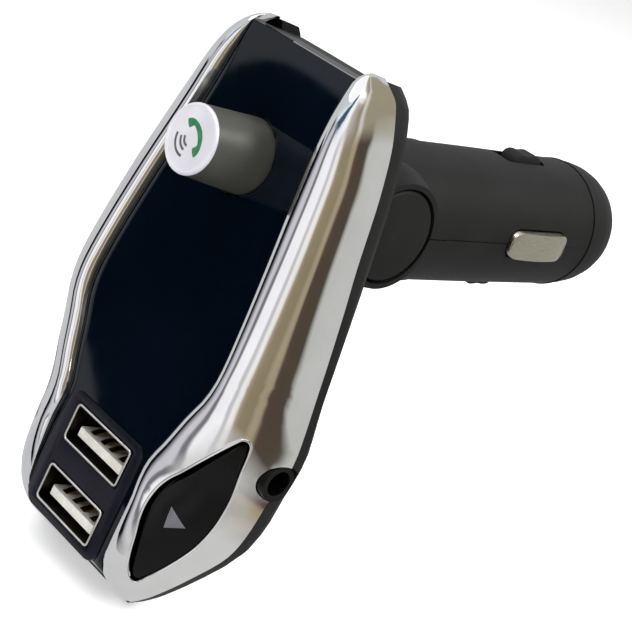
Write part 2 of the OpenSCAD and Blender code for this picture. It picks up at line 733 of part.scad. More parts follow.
module rear_housing() {
    top_u = station_shares[3];
    color("#2b2d2b") in_head() difference() {
        union() {
            difference() {
                skin([for (u = station_shares) if (u > 0.003) housing_ring(u, 0, 0)]);
                skin([for (u = station_shares) if (u > 0.02 && u < 0.975)
                    housing_ring(u, housing_wall, head_depth / 2)]);
            }
            tongue();
            for (p = screw_places) translate([p[0], board_back_y + seat_gap, p[1]]) along_y()
                cylinder(h = screw_seat(p) + screw_sink / 2 - board_back_y - seat_gap, r = boss_r);
        }
        translate([0, hinge_y, hinge_z]) along_x() cylinder(h = beyond, r = pin_r + run_gap, center = true);
        block([-face_x(top_u), 0, height_at(top_u)], [face_x(top_u), beyond, beyond]);
        translate([0, jack_y, jack_z]) along_x() cylinder(h = beyond, r = jack_ring_r + fit_gap);
        block([-beyond, card_y - card_t / 2 - card_gap, card_z - card_w / 2 - card_gap],
            [-outer_half / 2, card_y + card_t / 2 + card_gap, card_z + card_w / 2 + card_gap]);
        for (p = screw_places) translate([p[0], 0, p[1]]) along_y() {
            cylinder(h = beyond, r = screw_r + screw_gap);
            translate([0, 0, screw_seat(p)]) cylinder(h = beyond, r = screw_cap_r + screw_gap);
        }
        translate([0, hinge_y, hinge_z]) rotate([90, 0, 0])
            cylinder(h = hinge_y - board_back_y, r = wire_hole_r);
        translate([0, mic_y, head_bottom - over]) cylinder(h = 3 * over, r = mic_hole_r);
    }
}

// The tongue that stands between the fork's cheeks
module tongue() {
    front_y = back_y(share_at(hinge_z)) - housing_wall;
    translate([-tongue_w / 2, front_y, hinge_z - neck_h / 2]) cube([tongue_w, hinge_y - front_y, neck_h]);
    translate([-tongue_w / 2, hinge_y, hinge_z]) along_x() cylinder(h = tongue_w, r = tongue_r);
}

// Bezel: a channel behind the window, open to the back, with its ends closed
function bezel_back_y(u) = min(parting_y(u), board_y) - fit_gap;
function bezel_ring(u, front, back, inset) = let(x = face_x(u) - fit_gap - inset, z = height_at(u),
    f = face_y(u) + window_t + seat_gap + front) [[x, f, z], [x, back, z], [-x, back, z], [-x, f, z]];

module front_bezel() {
    color("#16171a") in_head() difference() {
        union() {
            difference() {
                skin([for (u = station_shares) if (u > 0.012 && u < 0.968)
                    bezel_ring(u, 0, bezel_back_y(u), 0)]);
                skin([for (u = station_shares) if (u > 0.028 && u < 0.94)
                    bezel_ring(u, bezel_wall, 2 * board_y, bezel_wall)]);
            }
            for (p = screw_places) translate([p[0], screw_front(p) - bezel_wall / 2, p[1]]) along_y()
                cylinder(h = board_y - seat_gap + bezel_wall / 2 - screw_front(p), r = bezel_boss_r);
        }
        for (p = screw_places) translate([p[0], screw_front(p), p[1]])
            along_y() cylinder(h = board_y, r = screw_r + pin_gap);
        translate([0, -over, knob_z]) along_y() cylinder(h = board_y, r = knob_hole_r);
        block([-screen_w / 2 - screen_gap, -beyond, screen_bottom_z - screen_gap],
            [screen_w / 2 + screen_gap, beyond, screen_top_z + screen_gap]);
        usb_holes(fit_gap, -over, beyond);
        plate_pocket(fit_gap, 0);
        jack_room(fit_gap);
    }
}

module plate_outline(grow) {
    translate([0, (plate_top_z + plate_bottom_z) / 2])
        rounded(plate_w + 2 * grow, plate_top_z - plate_bottom_z + 2 * grow, plate_corner + grow);
}
module plate_pocket(grow, depth) {
    front_plate(-beyond, port_y + plate_t + seat_gap + depth) plate_outline(grow);
}
module usb_holes(gap, y0, y1) {
    for (i = [0, 1]) front_plate(y0, y1) translate([0, usb_upper_z - i * usb_pitch])
        square([usb_w + 2 * gap, usb_h + 2 * gap], center = true);
}

module display_window() {
    color("#06070d", 0.95) in_head() difference() {
        skin([for (u = station_shares) if (u > 0.012 && u < 0.975)
            let(x = face_x(u) - fit_gap, z = height_at(u), f = face_y(u))
            [[x - window_soft, f, z], [x, f + window_soft, z], [x, f + window_t, z], [-x, f + window_t, z],
                [-x, f + window_soft, z], [-x + window_soft, f, z]]]);
        translate([0, -over, knob_z]) along_y() cylinder(h = board_y, r = knob_hole_r);
        plate_pocket(plate_gap, beyond);
    }
}

// Raised plate that frames the two sockets
module port_plate() {
    color("#1c1c28") in_head() difference() {
        front_plate(port_y, port_y + plate_t) plate_outline(0);
        usb_holes(port_gap, -beyond, beyond);
    }
}

// Ring of a trim: inner leg, lip, cheek and then the inside of its wall
function lip_points(u) = let(x = face_x(u), r = ridge_y(u), f = max(face_y(u), r + lip_drop),
    i = min(ridge_in, 0.4 * (outer_x(u) - x)))
    [[x, f], [x + 0.02 * i, r + 0.35 * (f - r)], [x + 0.35 * i, r], [x + i, r]];
function cheek_points(u) = let(l = lip_points(u)[3], e = [outer_x(u), parting_y(u) - seat_gap],
    b = smooth(bulge_shares, u))
    [l, [l[0] + b * (e[0] - l[0]), l[1] + 0.1 * (1 - b) * (e[1] - l[1])],
        [e[0] - 0.35 * (1 - b) * (e[0] - l[0]), e[1] - b * (e[1] - l[1])], e];
function trim_outside(u) = let(l = lip_points(u), c = cheek_points(u))
    concat([for (i = [0:lip_steps - 1]) curve(l, i / lip_steps)],
        [for (i = [0:cheek_steps]) curve(c, i / cheek_steps)]);
function trim_ring(u) = let(l = lip_points(u), c = cheek_points(u), z = height_at(u),
    w = min(trim_wall, 0.3 * (outer_x(u) - face_x(u))), g = min(trim_leg, 0.35 * (outer_x(u) - face_x(u))),
    seat_y = min(max(l[0][1] + trim_seat, l[3][1] + 2 * w), 0.5 * (parting_y(u) + l[3][1]) + w))
    [for (p = concat([[l[0][0], seat_y]], trim_outside(u), [c[3] - [w, 0]],
        [for (i = [cheek_steps - 1:-1:2]) let(t = i / cheek_steps) curve(c, t) + w * curve_in(c, t)],
        [[l[0][0] + g, max(l[3][1] + 1.2 * w, 0)], [l[0][0] + g, seat_y]])) [p[0], p[1], z]];

module trim() {
    difference() {
        skin([for (u = station_shares) if (u < 0.999) trim_ring(u)]);
        button_prism(0, -beyond, beyond);
    }
}

module trim_left() { color("#d8d8dc") in_head() mirror([1, 0, 0]) trim(); }
module trim_right() {
    color("#d8d8dc") in_head() difference() {
        trim();
        translate([0, jack_y, jack_z]) along_x() cylinder(h = beyond, r = jack_ring_r + fit_gap);
    }
}

// The button's outline as a column along y, drawn in by a gap
module button_prism(gap, y0, y1) {
    front_plate(y0, y1) translate([button_mid_x, button_mid_z])
        polygon([for (s = button_shares) [s[0] * (button_w - 2 * gap), s[1] * (button_h - 4 * gap)]]);
}

// Solid under the trim's cheek, set back by shift
module cheek_solid(shift) {
    translate([0, shift, 0]) skin([for (u = station_shares) if (u > 0.55 && u < 0.98)
        [for (p = concat(trim_outside(u), [[outer_x(u), 2 * head_depth], [face_x(u), 2 * head_depth]]))
            [p[0], p[1], height_at(u)]]]);
}

module button() {
    intersection() {
        cheek_solid(button_inset);
        union() {
            difference() {
                button_prism(button_gap, -beyond, board_y - button_travel - button_play);
                cheek_solid(button_inset + button_skin);
            }
            translate([switch_x, 0, switch_z]) along_y() cylinder(h = stem_front_y, r = button_post_r);
        }
    }
}

module button_right() { color("#0c0c10") in_head() button(); }
module button_left() { color("#0c0c10") in_head() mirror([1, 0, 0]) button(); }

module switch_body() {
    translate([switch_x, board_y - seat_gap, switch_z]) rotate([90, 0, 0]) difference() {
        translate([-switch_side / 2, -switch_side / 2, 0]) cube([switch_side, switch_side, switch_depth]);
        translate([0, 0, switch_depth - stem_in - button_travel - run_gap])
            cylinder(h = switch_depth, r = switch_stem_r + run_gap);
    }
}
module switch_stem() {
    translate([switch_x, stem_front_y, switch_z])
        along_y() cylinder(h = stem_proud + stem_in, r = switch_stem_r);
}
module switch_right() { color("#1b1b1d") in_head() switch_body(); }
module switch_left() { color("#1b1b1d") in_head() mirror([1, 0, 0]) switch_body(); }
module switch_stem_right() { color("#6a2f2f") in_head() switch_stem(); }
module switch_stem_left() { color("#6a2f2f") in_head() mirror([1, 0, 0]) switch_stem(); }

module usb_inside(z) {
    translate([0, z]) square([usb_w - 2 * usb_sheet, usb_h - 2 * usb_sheet], center = true);
}
module usb_shell(z) {
    in_head() difference() {
        front_plate(port_y - port_lip, port_back_y) translate([0, z]) square([usb_w, usb_h], center = true);
        front_plate(-beyond, port_back_y - usb_sheet) usb_inside(z);
    }
}
// Insulating tongue with the block at its root
module usb_tongue(z) {
    root_y = port_back_y - usb_sheet;
    in_head() {
        front_plate(port_y + usb_tongue_in, root_y) translate([0, z - usb_tongue_drop])
            square([usb_tongue_w, usb_tongue_t], center = true);
        front_plate(root_y - usb_root_t, root_y) usb_inside(z);
    }
}
module usb_shell_upper() { color("#9a958c") usb_shell(usb_upper_z); }
module usb_shell_lower() { color("#9a958c") usb_shell(usb_upper_z - usb_pitch); }
module usb_tongue_upper() { color("#d9d6cf") usb_tongue(usb_upper_z); }
module usb_tongue_lower() { color("#d9d6cf") usb_tongue(usb_upper_z - usb_pitch); }

module main_board() {
    edge = [for (u = station_shares) if (u > 0.05 && u < 0.9) [outer_x(u) - board_margin, height_at(u)]];
    n = len(edge);
    color("darkgreen") in_head() difference() {
        front_plate(board_y, board_back_y)
            polygon(concat(edge, [for (i = [n - 1:-1:0]) [-edge[i][0], edge[i][1]]]));
        usb_holes(board_gap, -beyond, beyond);
        jack_room(board_gap);
        for (p = screw_places) translate([p[0], 0, p[1]])
            along_y() cylinder(h = beyond, r = screw_r + screw_gap);
    }
}

module led_display() {
    color("#1a1a1c") in_head() block(
        [-screen_w / 2, face_y(share_at(screen_top_z)) + window_t + fit_gap, screen_bottom_z],
        [screen_w / 2, board_y - pin_gap, screen_top_z]);
}

module d_bar(r, y0, y1) {
    difference() {
        translate([0, y0, 0]) along_y() cylinder(h = y1 - y0, r = r);
        block([-r, y0 - over, -r - over], [r, y1 + over, -flat_share * r]);
    }
}
module encoder_body() {
    half = encoder_side / 2;
    color("#8f9295") in_head() translate([0, 0, knob_z]) difference() {
        union() {
            block([-half, encoder_y, -half], [half, board_y - pin_gap, half]);
            translate([0, -bushing_reach, 0]) along_y()
                cylinder(h = bushing_reach + encoder_y + over, r = bushing_r);
        }
        translate([0, -beyond, 0]) along_y() cylinder(h = 2 * beyond, r = shaft_r + run_gap);
        translate([0, rotor_y - rotor_gap, 0]) along_y()
            cylinder(h = rotor_t + 2 * rotor_gap, r = rotor_r + rotor_gap);
    }
}
module encoder_rotor() {
    color("#c9b58a") in_head() translate([0, 0, knob_z]) difference() {
        translate([0, rotor_y, 0]) along_y() cylinder(h = rotor_t, r = rotor_r);
        d_bar(shaft_r + run_gap, rotor_y - over, rotor_y + rotor_t + over);
    }
}
module knob_shaft() {
    color("#a7a9ab") in_head() translate([0, 0, knob_z])
        d_bar(shaft_r, knob_cap_t - knob_reach, board_y - knob_travel - shaft_end_gap);
}
// Point of a rounded edge of the knob, at an angle round it
function rim_point(r, z, a) = [r - knob_rim + knob_rim * cos(a), z + knob_rim * sin(a)];
// Turned profile: hollow foot with a step above it, and a waist
module knob_sleeve() {
    hollow_r = bushing_r + bushing_gap;
    core_r = flat_share * shaft_r;
    end = knob_foot_y + knob_reach - knob_face_t;
    color("#4a4a45") in_head() translate([0, 0, knob_z]) difference() {
        translate([0, knob_foot_y, 0]) rotate([90, 0, 0]) rotate_extrude() polygon(concat(
            [[hollow_r, 0], [knob_foot_r - knob_rim, 0]],
            [for (a = [-90:30:0]) rim_point(knob_foot_r, knob_rim, a)],
            [[knob_foot_r, knob_band_z], [knob_foot_r - knob_band_in, knob_band_z + knob_band_w]],
            [[knob_r, end], [core_r, end], [core_r, knob_hollow], [hollow_r, knob_hollow]]));
        d_bar(shaft_r + pin_gap, knob_cap_t - knob_reach, beyond);
    }
}
// Cap of the knob, with a rounded rim round its sunk face
module knob_face() {
    inner_r = knob_r - 2 * knob_rim;
    color("#d5d2da") in_head() translate([0, knob_face_t - knob_reach, knob_z]) rotate([90, 0, 0])
        rotate_extrude() polygon(concat([[0, 0], [knob_r, 0]],
            [for (a = [0:30:90]) rim_point(knob_r, knob_face_t - knob_rim, a)],
            [[inner_r, knob_face_t - knob_face_dip], [0, knob_face_t - knob_face_dip]]));
}

// Room for the jack's body, open to the right and the back
module jack_room(gap) {
    half = jack_body_h / 2 + gap;
    block([jack_back_x - gap, jack_y - jack_body_t / 2 - gap, jack_z - half],
        [beyond, beyond, jack_z + half]);
}

module aux_jack() {
    color("#141414") in_head() difference() {
        union() {
            block([jack_back_x, jack_y - jack_body_t / 2, jack_z - jack_body_h / 2],
                [jack_back_x + jack_body_len, jack_y + jack_body_t / 2, jack_z + jack_body_h / 2]);
            translate([jack_face_x - jack_ring_len, jack_y, jack_z]) along_x()
                cylinder(h = jack_ring_len, r = jack_ring_r);
        }
        translate([jack_face_x - jack_depth, jack_y, jack_z]) along_x() cylinder(h = beyond, r = jack_r);
    }
}

// Sheet metal pocket on the back of the board, its mouth behind a slot in the left side of the housing
module card_slot() {
    mouth_x = -card_mouth_share * (outer_x(share_at(card_z + card_w / 2 + card_side)) - housing_wall);
    color("#b9b9b9") in_head() difference() {
        block([mouth_x, board_back_y + seat_gap, card_z - card_w / 2 - card_side],
            [mouth_x + card_depth + card_side, card_y + card_t / 2 + card_sheet,
                card_z + card_w / 2 + card_side]);
        block([mouth_x - over, card_y - card_t / 2, card_z - card_w / 2],
            [mouth_x + card_depth, card_y + card_t / 2, card_z + card_w / 2]);
    }
}

module microphone() {
    floor_z = height_at(max([for (u = station_shares) if (u < 0.975) u]));
    color("#c0b080") in_head() translate([0, mic_y, floor_z + seat_gap]) cylinder(h = mic_h, r = mic_r);
}

module radio_chip() {
    color("#202020") in_head() block([chip_x, board_back_y + seat_gap, chip_z],
        [chip_x + chip_w, board_back_y + chip_t, chip_z + chip_w]);
}

// Four screws from the back
module housing_screws() {
    color("dimgray") in_head() for (p = screw_places) translate([p[0], 0, p[1]]) along_y() {
        translate([0, 0, screw_front(p) + screw_lead])
            cylinder(h = screw_seat(p) + screw_cap_t / 2 - screw_front(p) - screw_lead, r = screw_r);
        translate([0, 0, screw_seat(p) + pin_gap]) cylinder(h = screw_cap_t, r = screw_cap_r);
    }
}

plug_shell_lower();
plug_shell_upper();
nose_cap();
tip_contact();
fuse_glass();
fuse_caps();
fuse_spring();
fuse_sleeve();
plug_board();
power_coil();
power_capacitor();
side_contact_left();
side_contact_right();
grip_pad_top();
grip_pad_bottom();
hinge_screw();
hinge_nut();
hinge_washers();
hinge_cap_left();
hinge_cap_right();
rear_housing();
front_bezel();
display_window();
port_plate();
trim_left();
trim_right();
usb_shell_upper();
usb_shell_lower();
usb_tongue_upper();
usb_tongue_lower();
main_board();
led_display();
encoder_body();
encoder_rotor();
knob_shaft();
knob_sleeve();
knob_face();
aux_jack();
card_slot();
microphone();
radio_chip();
switch_left();
switch_right();
switch_stem_left();
switch_stem_right();
button_left();
button_right();
housing_screws();
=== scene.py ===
import json
import math
import bpy
from mathutils import Matrix, Vector

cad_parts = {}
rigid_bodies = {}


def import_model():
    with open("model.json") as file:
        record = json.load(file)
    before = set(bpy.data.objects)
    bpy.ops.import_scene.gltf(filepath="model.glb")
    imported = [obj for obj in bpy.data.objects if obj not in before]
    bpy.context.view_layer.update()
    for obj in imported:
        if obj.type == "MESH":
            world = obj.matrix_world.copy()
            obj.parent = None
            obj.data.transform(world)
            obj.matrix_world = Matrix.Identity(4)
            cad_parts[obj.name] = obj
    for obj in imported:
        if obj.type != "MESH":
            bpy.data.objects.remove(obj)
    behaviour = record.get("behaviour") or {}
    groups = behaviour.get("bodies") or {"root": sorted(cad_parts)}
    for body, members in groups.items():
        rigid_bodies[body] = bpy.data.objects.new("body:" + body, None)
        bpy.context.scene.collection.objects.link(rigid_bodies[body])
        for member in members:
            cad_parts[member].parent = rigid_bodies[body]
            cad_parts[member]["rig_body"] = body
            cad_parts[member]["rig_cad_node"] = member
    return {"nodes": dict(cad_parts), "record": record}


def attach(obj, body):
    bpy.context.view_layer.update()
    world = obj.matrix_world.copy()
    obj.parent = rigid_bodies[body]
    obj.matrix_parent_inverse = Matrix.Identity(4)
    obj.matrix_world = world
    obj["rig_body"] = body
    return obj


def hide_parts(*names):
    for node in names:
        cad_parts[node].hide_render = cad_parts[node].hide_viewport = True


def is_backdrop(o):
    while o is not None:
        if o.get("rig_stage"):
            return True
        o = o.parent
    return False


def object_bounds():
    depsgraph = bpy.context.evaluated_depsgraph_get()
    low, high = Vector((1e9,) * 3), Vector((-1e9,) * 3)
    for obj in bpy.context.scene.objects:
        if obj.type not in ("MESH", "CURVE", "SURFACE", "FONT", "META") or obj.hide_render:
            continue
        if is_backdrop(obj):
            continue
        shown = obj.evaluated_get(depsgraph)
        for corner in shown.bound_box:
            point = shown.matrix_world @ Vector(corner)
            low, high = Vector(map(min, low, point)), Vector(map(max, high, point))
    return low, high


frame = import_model()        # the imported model, in metres
cadLow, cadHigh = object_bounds()
scene = bpy.context.scene
nodes = frame["nodes"]
mm = 0.001
print("frame loaded:", len(nodes), "nodes")

# The head leans back on its hinge, so its pieces are shaped upright and then turned into place
headSet = {"lean": -8.58, "hinge": (0, -11, 0), "hingeInHead": (0, 23.2, 0.9)}
headPlace = (Matrix.Translation(Vector(headSet["hinge"]) * mm)
             @ Matrix.Rotation(math.radians(headSet["lean"]), 4, "X")
             @ Matrix.Translation(-Vector(headSet["hingeInHead"]) * mm))


# Camera where the photographer stood, with the same lens
cameraSet = {"place": (148.32, -174.75, 60.27), "right": (0.61834, 0.71023, 0.33649),
             "down": (0.47084, 0.00803, -0.88218), "lens": 93.33, "clip": 0.01}
right, down = Vector(cameraSet["right"]).normalized(), Vector(cameraSet["down"]).normalized()
back = right.cross(-down).normalized()
turn = Matrix((right, back.cross(right), back)).transposed().to_4x4()
bpy.ops.object.camera_add()
camera = bpy.context.active_object
camera.matrix_world = Matrix.Translation(Vector(cameraSet["place"]) * mm) @ turn
camera.data.lens = cameraSet["lens"]
camera.data.clip_start = cameraSet["clip"]
scene.camera = camera
scene.view_settings.view_transform = "Standard"
print("camera set")


def linearColor(code):        # "#rrggbb" as written in a paint program, to the renderer's linear numbers
    parts = [int(code[i:i + 2], 16) / 255 for i in (1, 3, 5)]
    return [p / 12.92 if p <= 0.04045 else ((p + 0.055) / 1.055) ** 2.4 for p in parts] + [1]


def addNode(tree, kind, settings=None, links=None):        # one node with its settings and its incoming links
    node = tree.nodes.new("ShaderNode" + kind)
    for name, value in (settings or {}).items():
        if isinstance(name, int) or name in node.inputs:
            node.inputs[name].default_value = value
        else:
            setattr(node, name, value)
    for name, source in (links or {}).items():
        tree.links.new(source, node.inputs[name])
    return node


def newMaterial(name):
    material = bpy.data.materials.new(name)
    material.use_nodes = True
    material.node_tree.nodes.clear()
    return material, material.node_tree


def computed(tree, operation, *terms):        # a sum on outputs of nodes and plain numbers
    plain = {i: term for i, term in enumerate(terms) if isinstance(term, (int, float))}
    linked = {i: term for i, term in enumerate(terms) if i not in plain}
    return addNode(tree, "Math", {"operation": operation, **plain}, linked).outputs["Value"]


def stretched(tree, value, low=0.0, high=1.0, span=(0.3, 0.7)):        # a span, by default a noise's, over a range
    return addNode(tree, "MapRange", {"From Min": span[0], "From Max": span[1], "To Min": low, "To Max": high},
                   {"Value": value}).outputs["Result"]


def around(tree, noise, middle, spread, span=(0.3, 0.7)):
    return stretched(tree, noise.outputs["Fac"], middle - spread, middle + spread, span)


def blended(tree, share, first, second):        # of two colours, each written or from a node
    written = {i: linearColor(colour) for i, colour in ((6, first), (7, second)) if isinstance(colour, str)}
    linked = {i: colour for i, colour in ((6, first), (7, second)) if i not in written}
    return addNode(tree, "Mix", {"data_type": "RGBA", **written}, {0: share, **linked}).outputs[2]


def toned(tree, noise, look):        # a finish's two tones, blended by a noise
    return blended(tree, stretched(tree, noise.outputs["Fac"]), look["dark"], look["light"])


def seenRays(tree):        # 1 for the rays of the camera, of mirrors and of glass, else 0
    path = addNode(tree, "LightPath")
    seen = computed(tree, "MAXIMUM", path.outputs["Is Camera Ray"], path.outputs["Is Glossy Ray"])
    return computed(tree, "MAXIMUM", seen, path.outputs["Is Transmission Ray"])


def surface(tree, kind, settings, links):        # the shader that closes a material's tree
    shader = addNode(tree, kind, settings, links)
    addNode(tree, "OutputMaterial", {}, {"Surface": shader.outputs[0]})


# Moulded plastics: a fine grain from the tool, and slow drifts of tone where the melt flowed
def mouldedPlastic(name, look):
    material, tree = newMaterial(name)
    spot = addNode(tree, "TexCoord").outputs["Object"]
    grain = addNode(tree, "TexNoise", {"Scale": 1000 / look["grain"], "Detail": 3.0, "Roughness": 0.6},
                    {"Vector": spot})
    drift = addNode(tree, "TexNoise", {"Scale": 1000 / look["drift"], "Detail": 2.0}, {"Vector": spot})
    colour = addNode(tree, "VectorMath", {"operation": "SCALE"},
                     {0: toned(tree, drift, look),
                      "Scale": around(tree, grain, 1, look["speckle"], (0.35, 0.65))})
    bump = addNode(tree, "Bump", {"Strength": look["bump"], "Distance": look["depth"] * mm},
                   {"Height": grain.outputs["Fac"]})
    surface(tree, "BsdfPrincipled",
            {"IOR": look["ior"], "Specular IOR Level": look["specular"], "Metallic": look.get("metal", 0.0)},
            {"Base Color": colour.outputs["Vector"], "Roughness": around(tree, grain, look["rough"], look["spread"]),
             "Normal": bump.outputs["Normal"]})
    return material


# Plated and bare metals: fine lines from rolling or polishing, and a slow waviness of the sheet
def metalFinish(name, look):
    material, tree = newMaterial(name)
    spot = addNode(tree, "TexCoord").outputs["Object"]
    lined = addNode(tree, "Mapping", {"Scale": look["lines"]}, {"Vector": spot})
    streak = addNode(tree, "TexNoise", {"Scale": 1000 / look["streak"], "Detail": 3.0},
                     {"Vector": lined.outputs["Vector"]})
    wave = addNode(tree, "TexNoise", {"Scale": 1000 / look["wave"], "Detail": 1.0}, {"Vector": spot})
    waves = addNode(tree, "Bump", {"Strength": look["waveBump"], "Distance": 0.1 * mm},
                    {"Height": wave.outputs["Fac"]})
    lines = addNode(tree, "Bump", {"Strength": look["lineBump"], "Distance": 0.01 * mm},
                    {"Height": streak.outputs["Fac"], "Normal": waves.outputs["Normal"]})
    surface(tree, "BsdfPrincipled", {"Metallic": 1.0},
            {"Base Color": toned(tree, streak, look),
             "Roughness": around(tree, streak, look["rough"], look["spread"]), "Normal": lines.outputs["Normal"]})
    return material


# ABS moulded in a spark-eroded tool: matt dark grey, with a grain that spreads each highlight
erodedAbs = mouldedPlastic("erodedAbs", {
    "dark": "#141514", "light": "#1a1b1a", "drift": 9, "grain": 0.28, "speckle": 0.16, "rough": 0.56, "spread": 0.06,
    "bump": 0.35, "depth": 0.03, "ior": 1.5, "specular": 0.17})
# Soft black polyamide of the sprung pads, cut rougher in the tool: it hardly shines
padPolyamide = mouldedPlastic("padPolyamide", {
    "dark": "#101111", "light": "#181918", "drift": 4, "grain": 0.34, "speckle": 0.2, "rough": 0.68, "spread": 0.08,
    "bump": 0.6, "depth": 0.04, "ior": 1.5, "specular": 0.25})
# Dull near-black of the ring in the nose's joint: painted shade, it stands for the shadow in the seam and reads as a
# dark line
seamShadeBlack = mouldedPlastic("seamShadeBlack", {
    "dark": "#050505", "light": "#080808", "drift": 4, "grain": 0.3, "speckle": 0.1, "rough": 0.8, "spread": 0.05,
    "bump": 0.2, "depth": 0.02, "ior": 1.5, "specular": 0.08})
# Plain black polyamide inside and in the jack: smooth from a polished core
innerPolyamide = mouldedPlastic("innerPolyamide", {
    "dark": "#0f1012", "light": "#17181a", "drift": 6, "grain": 0.5, "speckle": 0.08, "rough": 0.42, "spread": 0.05,
    "bump": 0.1, "depth": 0.02, "ior": 1.53, "specular": 0.4})
# Black polyamide of the jack, polished by its tool: its mouth reads as one dark hole
jackPolyamide = mouldedPlastic("jackPolyamide", {
    "dark": "#040404", "light": "#080808", "drift": 3, "grain": 0.4, "speckle": 0.06, "rough": 0.4, "spread": 0.05,
    "bump": 0.06, "depth": 0.02, "ior": 1.53, "specular": 0.15})
# Semi-gloss blue-black ABS round the sockets: a faint orange peel softens what it mirrors
portAbs = mouldedPlastic("portAbs", {
    "dark": "#0a0a14", "light": "#11111d", "drift": 7, "grain": 0.7, "speckle": 0.05, "rough": 0.3, "spread": 0.04,
    "bump": 0.03, "depth": 0.02, "ior": 1.5, "specular": 0.26})
# Glass-filled liquid crystal polymer of the socket tongues: off-white, with fine flow specks
tonguePolymer = mouldedPlastic("tonguePolymer", {
    "dark": "#c9c5bc", "light": "#dedbd3", "drift": 3, "grain": 0.3, "speckle": 0.08, "rough": 0.55, "spread": 0.06,
    "bump": 0.25, "depth": 0.02, "ior": 1.6, "specular": 0.4})
# Warm grey metallic lacquer on the knob's side, sprayed: a soft band of light runs along it
knobLacquer = mouldedPlastic("knobLacquer", {
    "dark": "#5c5c57", "light": "#686862", "drift": 6, "grain": 0.22, "speckle": 0.04, "rough": 0.43, "spread": 0.03,
    "bump": 0.08, "depth": 0.02, "ior": 1.5, "specular": 0.5, "metal": 0.65})
# Black acrylic window with a navy tint, polished like glass
tintedAcrylic = mouldedPlastic("tintedAcrylic", {
    "dark": "#02070f", "light": "#030b16", "drift": 20, "grain": 3.0, "speckle": 0.05, "rough": 0.05, "spread": 0.015,
    "bump": 0.02, "depth": 0.02, "ior": 1.49, "specular": 0.45})
# Polished black ABS of the side buttons
glossAbs = mouldedPlastic("glossAbs", {
    "dark": "#040405", "light": "#070709", "drift": 8, "grain": 1.2, "speckle": 0.06, "rough": 0.1, "spread": 0.03,
    "bump": 0.03, "depth": 0.02, "ior": 1.5, "specular": 0.2})
# Screen-printed inks: flat colour with a slightly dry edge
greenInk = mouldedPlastic("greenInk", {
    "dark": "#276b40", "light": "#358152", "drift": 1.2, "grain": 0.15, "speckle": 0.08, "rough": 0.45, "spread": 0.05,
    "bump": 0.1, "depth": 0.01, "ior": 1.5, "specular": 0.4})
greyInk = mouldedPlastic("greyInk", {
    "dark": "#4b4f52", "light": "#5b5f62", "drift": 1.2, "grain": 0.15, "speckle": 0.08, "rough": 0.45, "spread": 0.05,
    "bump": 0.1, "depth": 0.01, "ior": 1.5, "specular": 0.4})
paleInk = mouldedPlastic("paleInk", {
    "dark": "#5d5d63", "light": "#6b6b71", "drift": 1.2, "grain": 0.15, "speckle": 0.06, "rough": 0.4, "spread": 0.05,
    "bump": 0.1, "depth": 0.01, "ior": 1.5, "specular": 0.4})
# Epoxy board under solder mask: dark green, faintly woven
solderMask = mouldedPlastic("solderMask", {
    "dark": "#123a1f", "light": "#1c4a2a", "drift": 5, "grain": 0.6, "speckle": 0.1, "rough": 0.32, "spread": 0.05,
    "bump": 0.15, "depth": 0.03, "ior": 1.55, "specular": 0.5})
# Bright chrome over ABS: a mirror that bends with the moulding's slight waviness
chromePlate = metalFinish("chromePlate", {
    "dark": "#f0f0f3", "light": "#fafafc", "lines": (1, 1, 1), "streak": 6, "wave": 9, "rough": 0.05, "spread": 0.02,
    "waveBump": 0.06, "lineBump": 0.02})
# Nickel-plated spring brass: warm grey, with fine lines along the strip where it was rolled
nickelPlate = metalFinish("nickelPlate", {
    "dark": "#b3ae9f", "light": "#c2bdae", "lines": (6, 0.5, 6), "streak": 1.2, "wave": 5, "rough": 0.22,
    "spread": 0.04, "waveBump": 0.05, "lineBump": 0.03})
# Steel of the socket shells, coloured a dull brown-black: painted shade that makes the mouths look deep
shadeDarkenedSteel = metalFinish("shadeDarkenedSteel", {
    "dark": "#2b2722", "light": "#3a352e", "lines": (1, 1, 1), "streak": 1.5, "wave": 5, "rough": 0.42, "spread": 0.06,
    "waveBump": 0.05, "lineBump": 0.05})
# Bright nickel on the sockets' folded rims: satin, so that each rim reads as one light line
rimNickel = metalFinish("rimNickel", {
    "dark": "#e4e2de", "light": "#f2f0ec", "lines": (1, 1, 1), "streak": 2.5, "wave": 5, "rough": 0.42, "spread": 0.05,
    "waveBump": 0.03, "lineBump": 0.03})
# Zinc-plated steel of screws, nut and shaft: dull silver with turning marks
zincSteel = metalFinish("zincSteel", {
    "dark": "#9fa1a3", "light": "#bcbec0", "lines": (1, 5, 5), "streak": 0.6, "wave": 4, "rough": 0.34, "spread": 0.08,
    "waveBump": 0.1, "lineBump": 0.3})
# Tinned sheet of the cans and the card slot: softly clouded
tinnedSheet = metalFinish("tinnedSheet", {
    "dark": "#94979a", "light": "#aeb1b4", "lines": (1, 1, 4), "streak": 1.0, "wave": 4, "rough": 0.3, "spread": 0.08,
    "waveBump": 0.12, "lineBump": 0.2})
# Gold flash on the sockets' springs
goldFlash = metalFinish("goldFlash", {
    "dark": "#a8873f", "light": "#c9a656", "lines": (4, 0.5, 4), "streak": 0.6, "wave": 3, "rough": 0.24,
    "spread": 0.05, "waveBump": 0.05, "lineBump": 0.1})


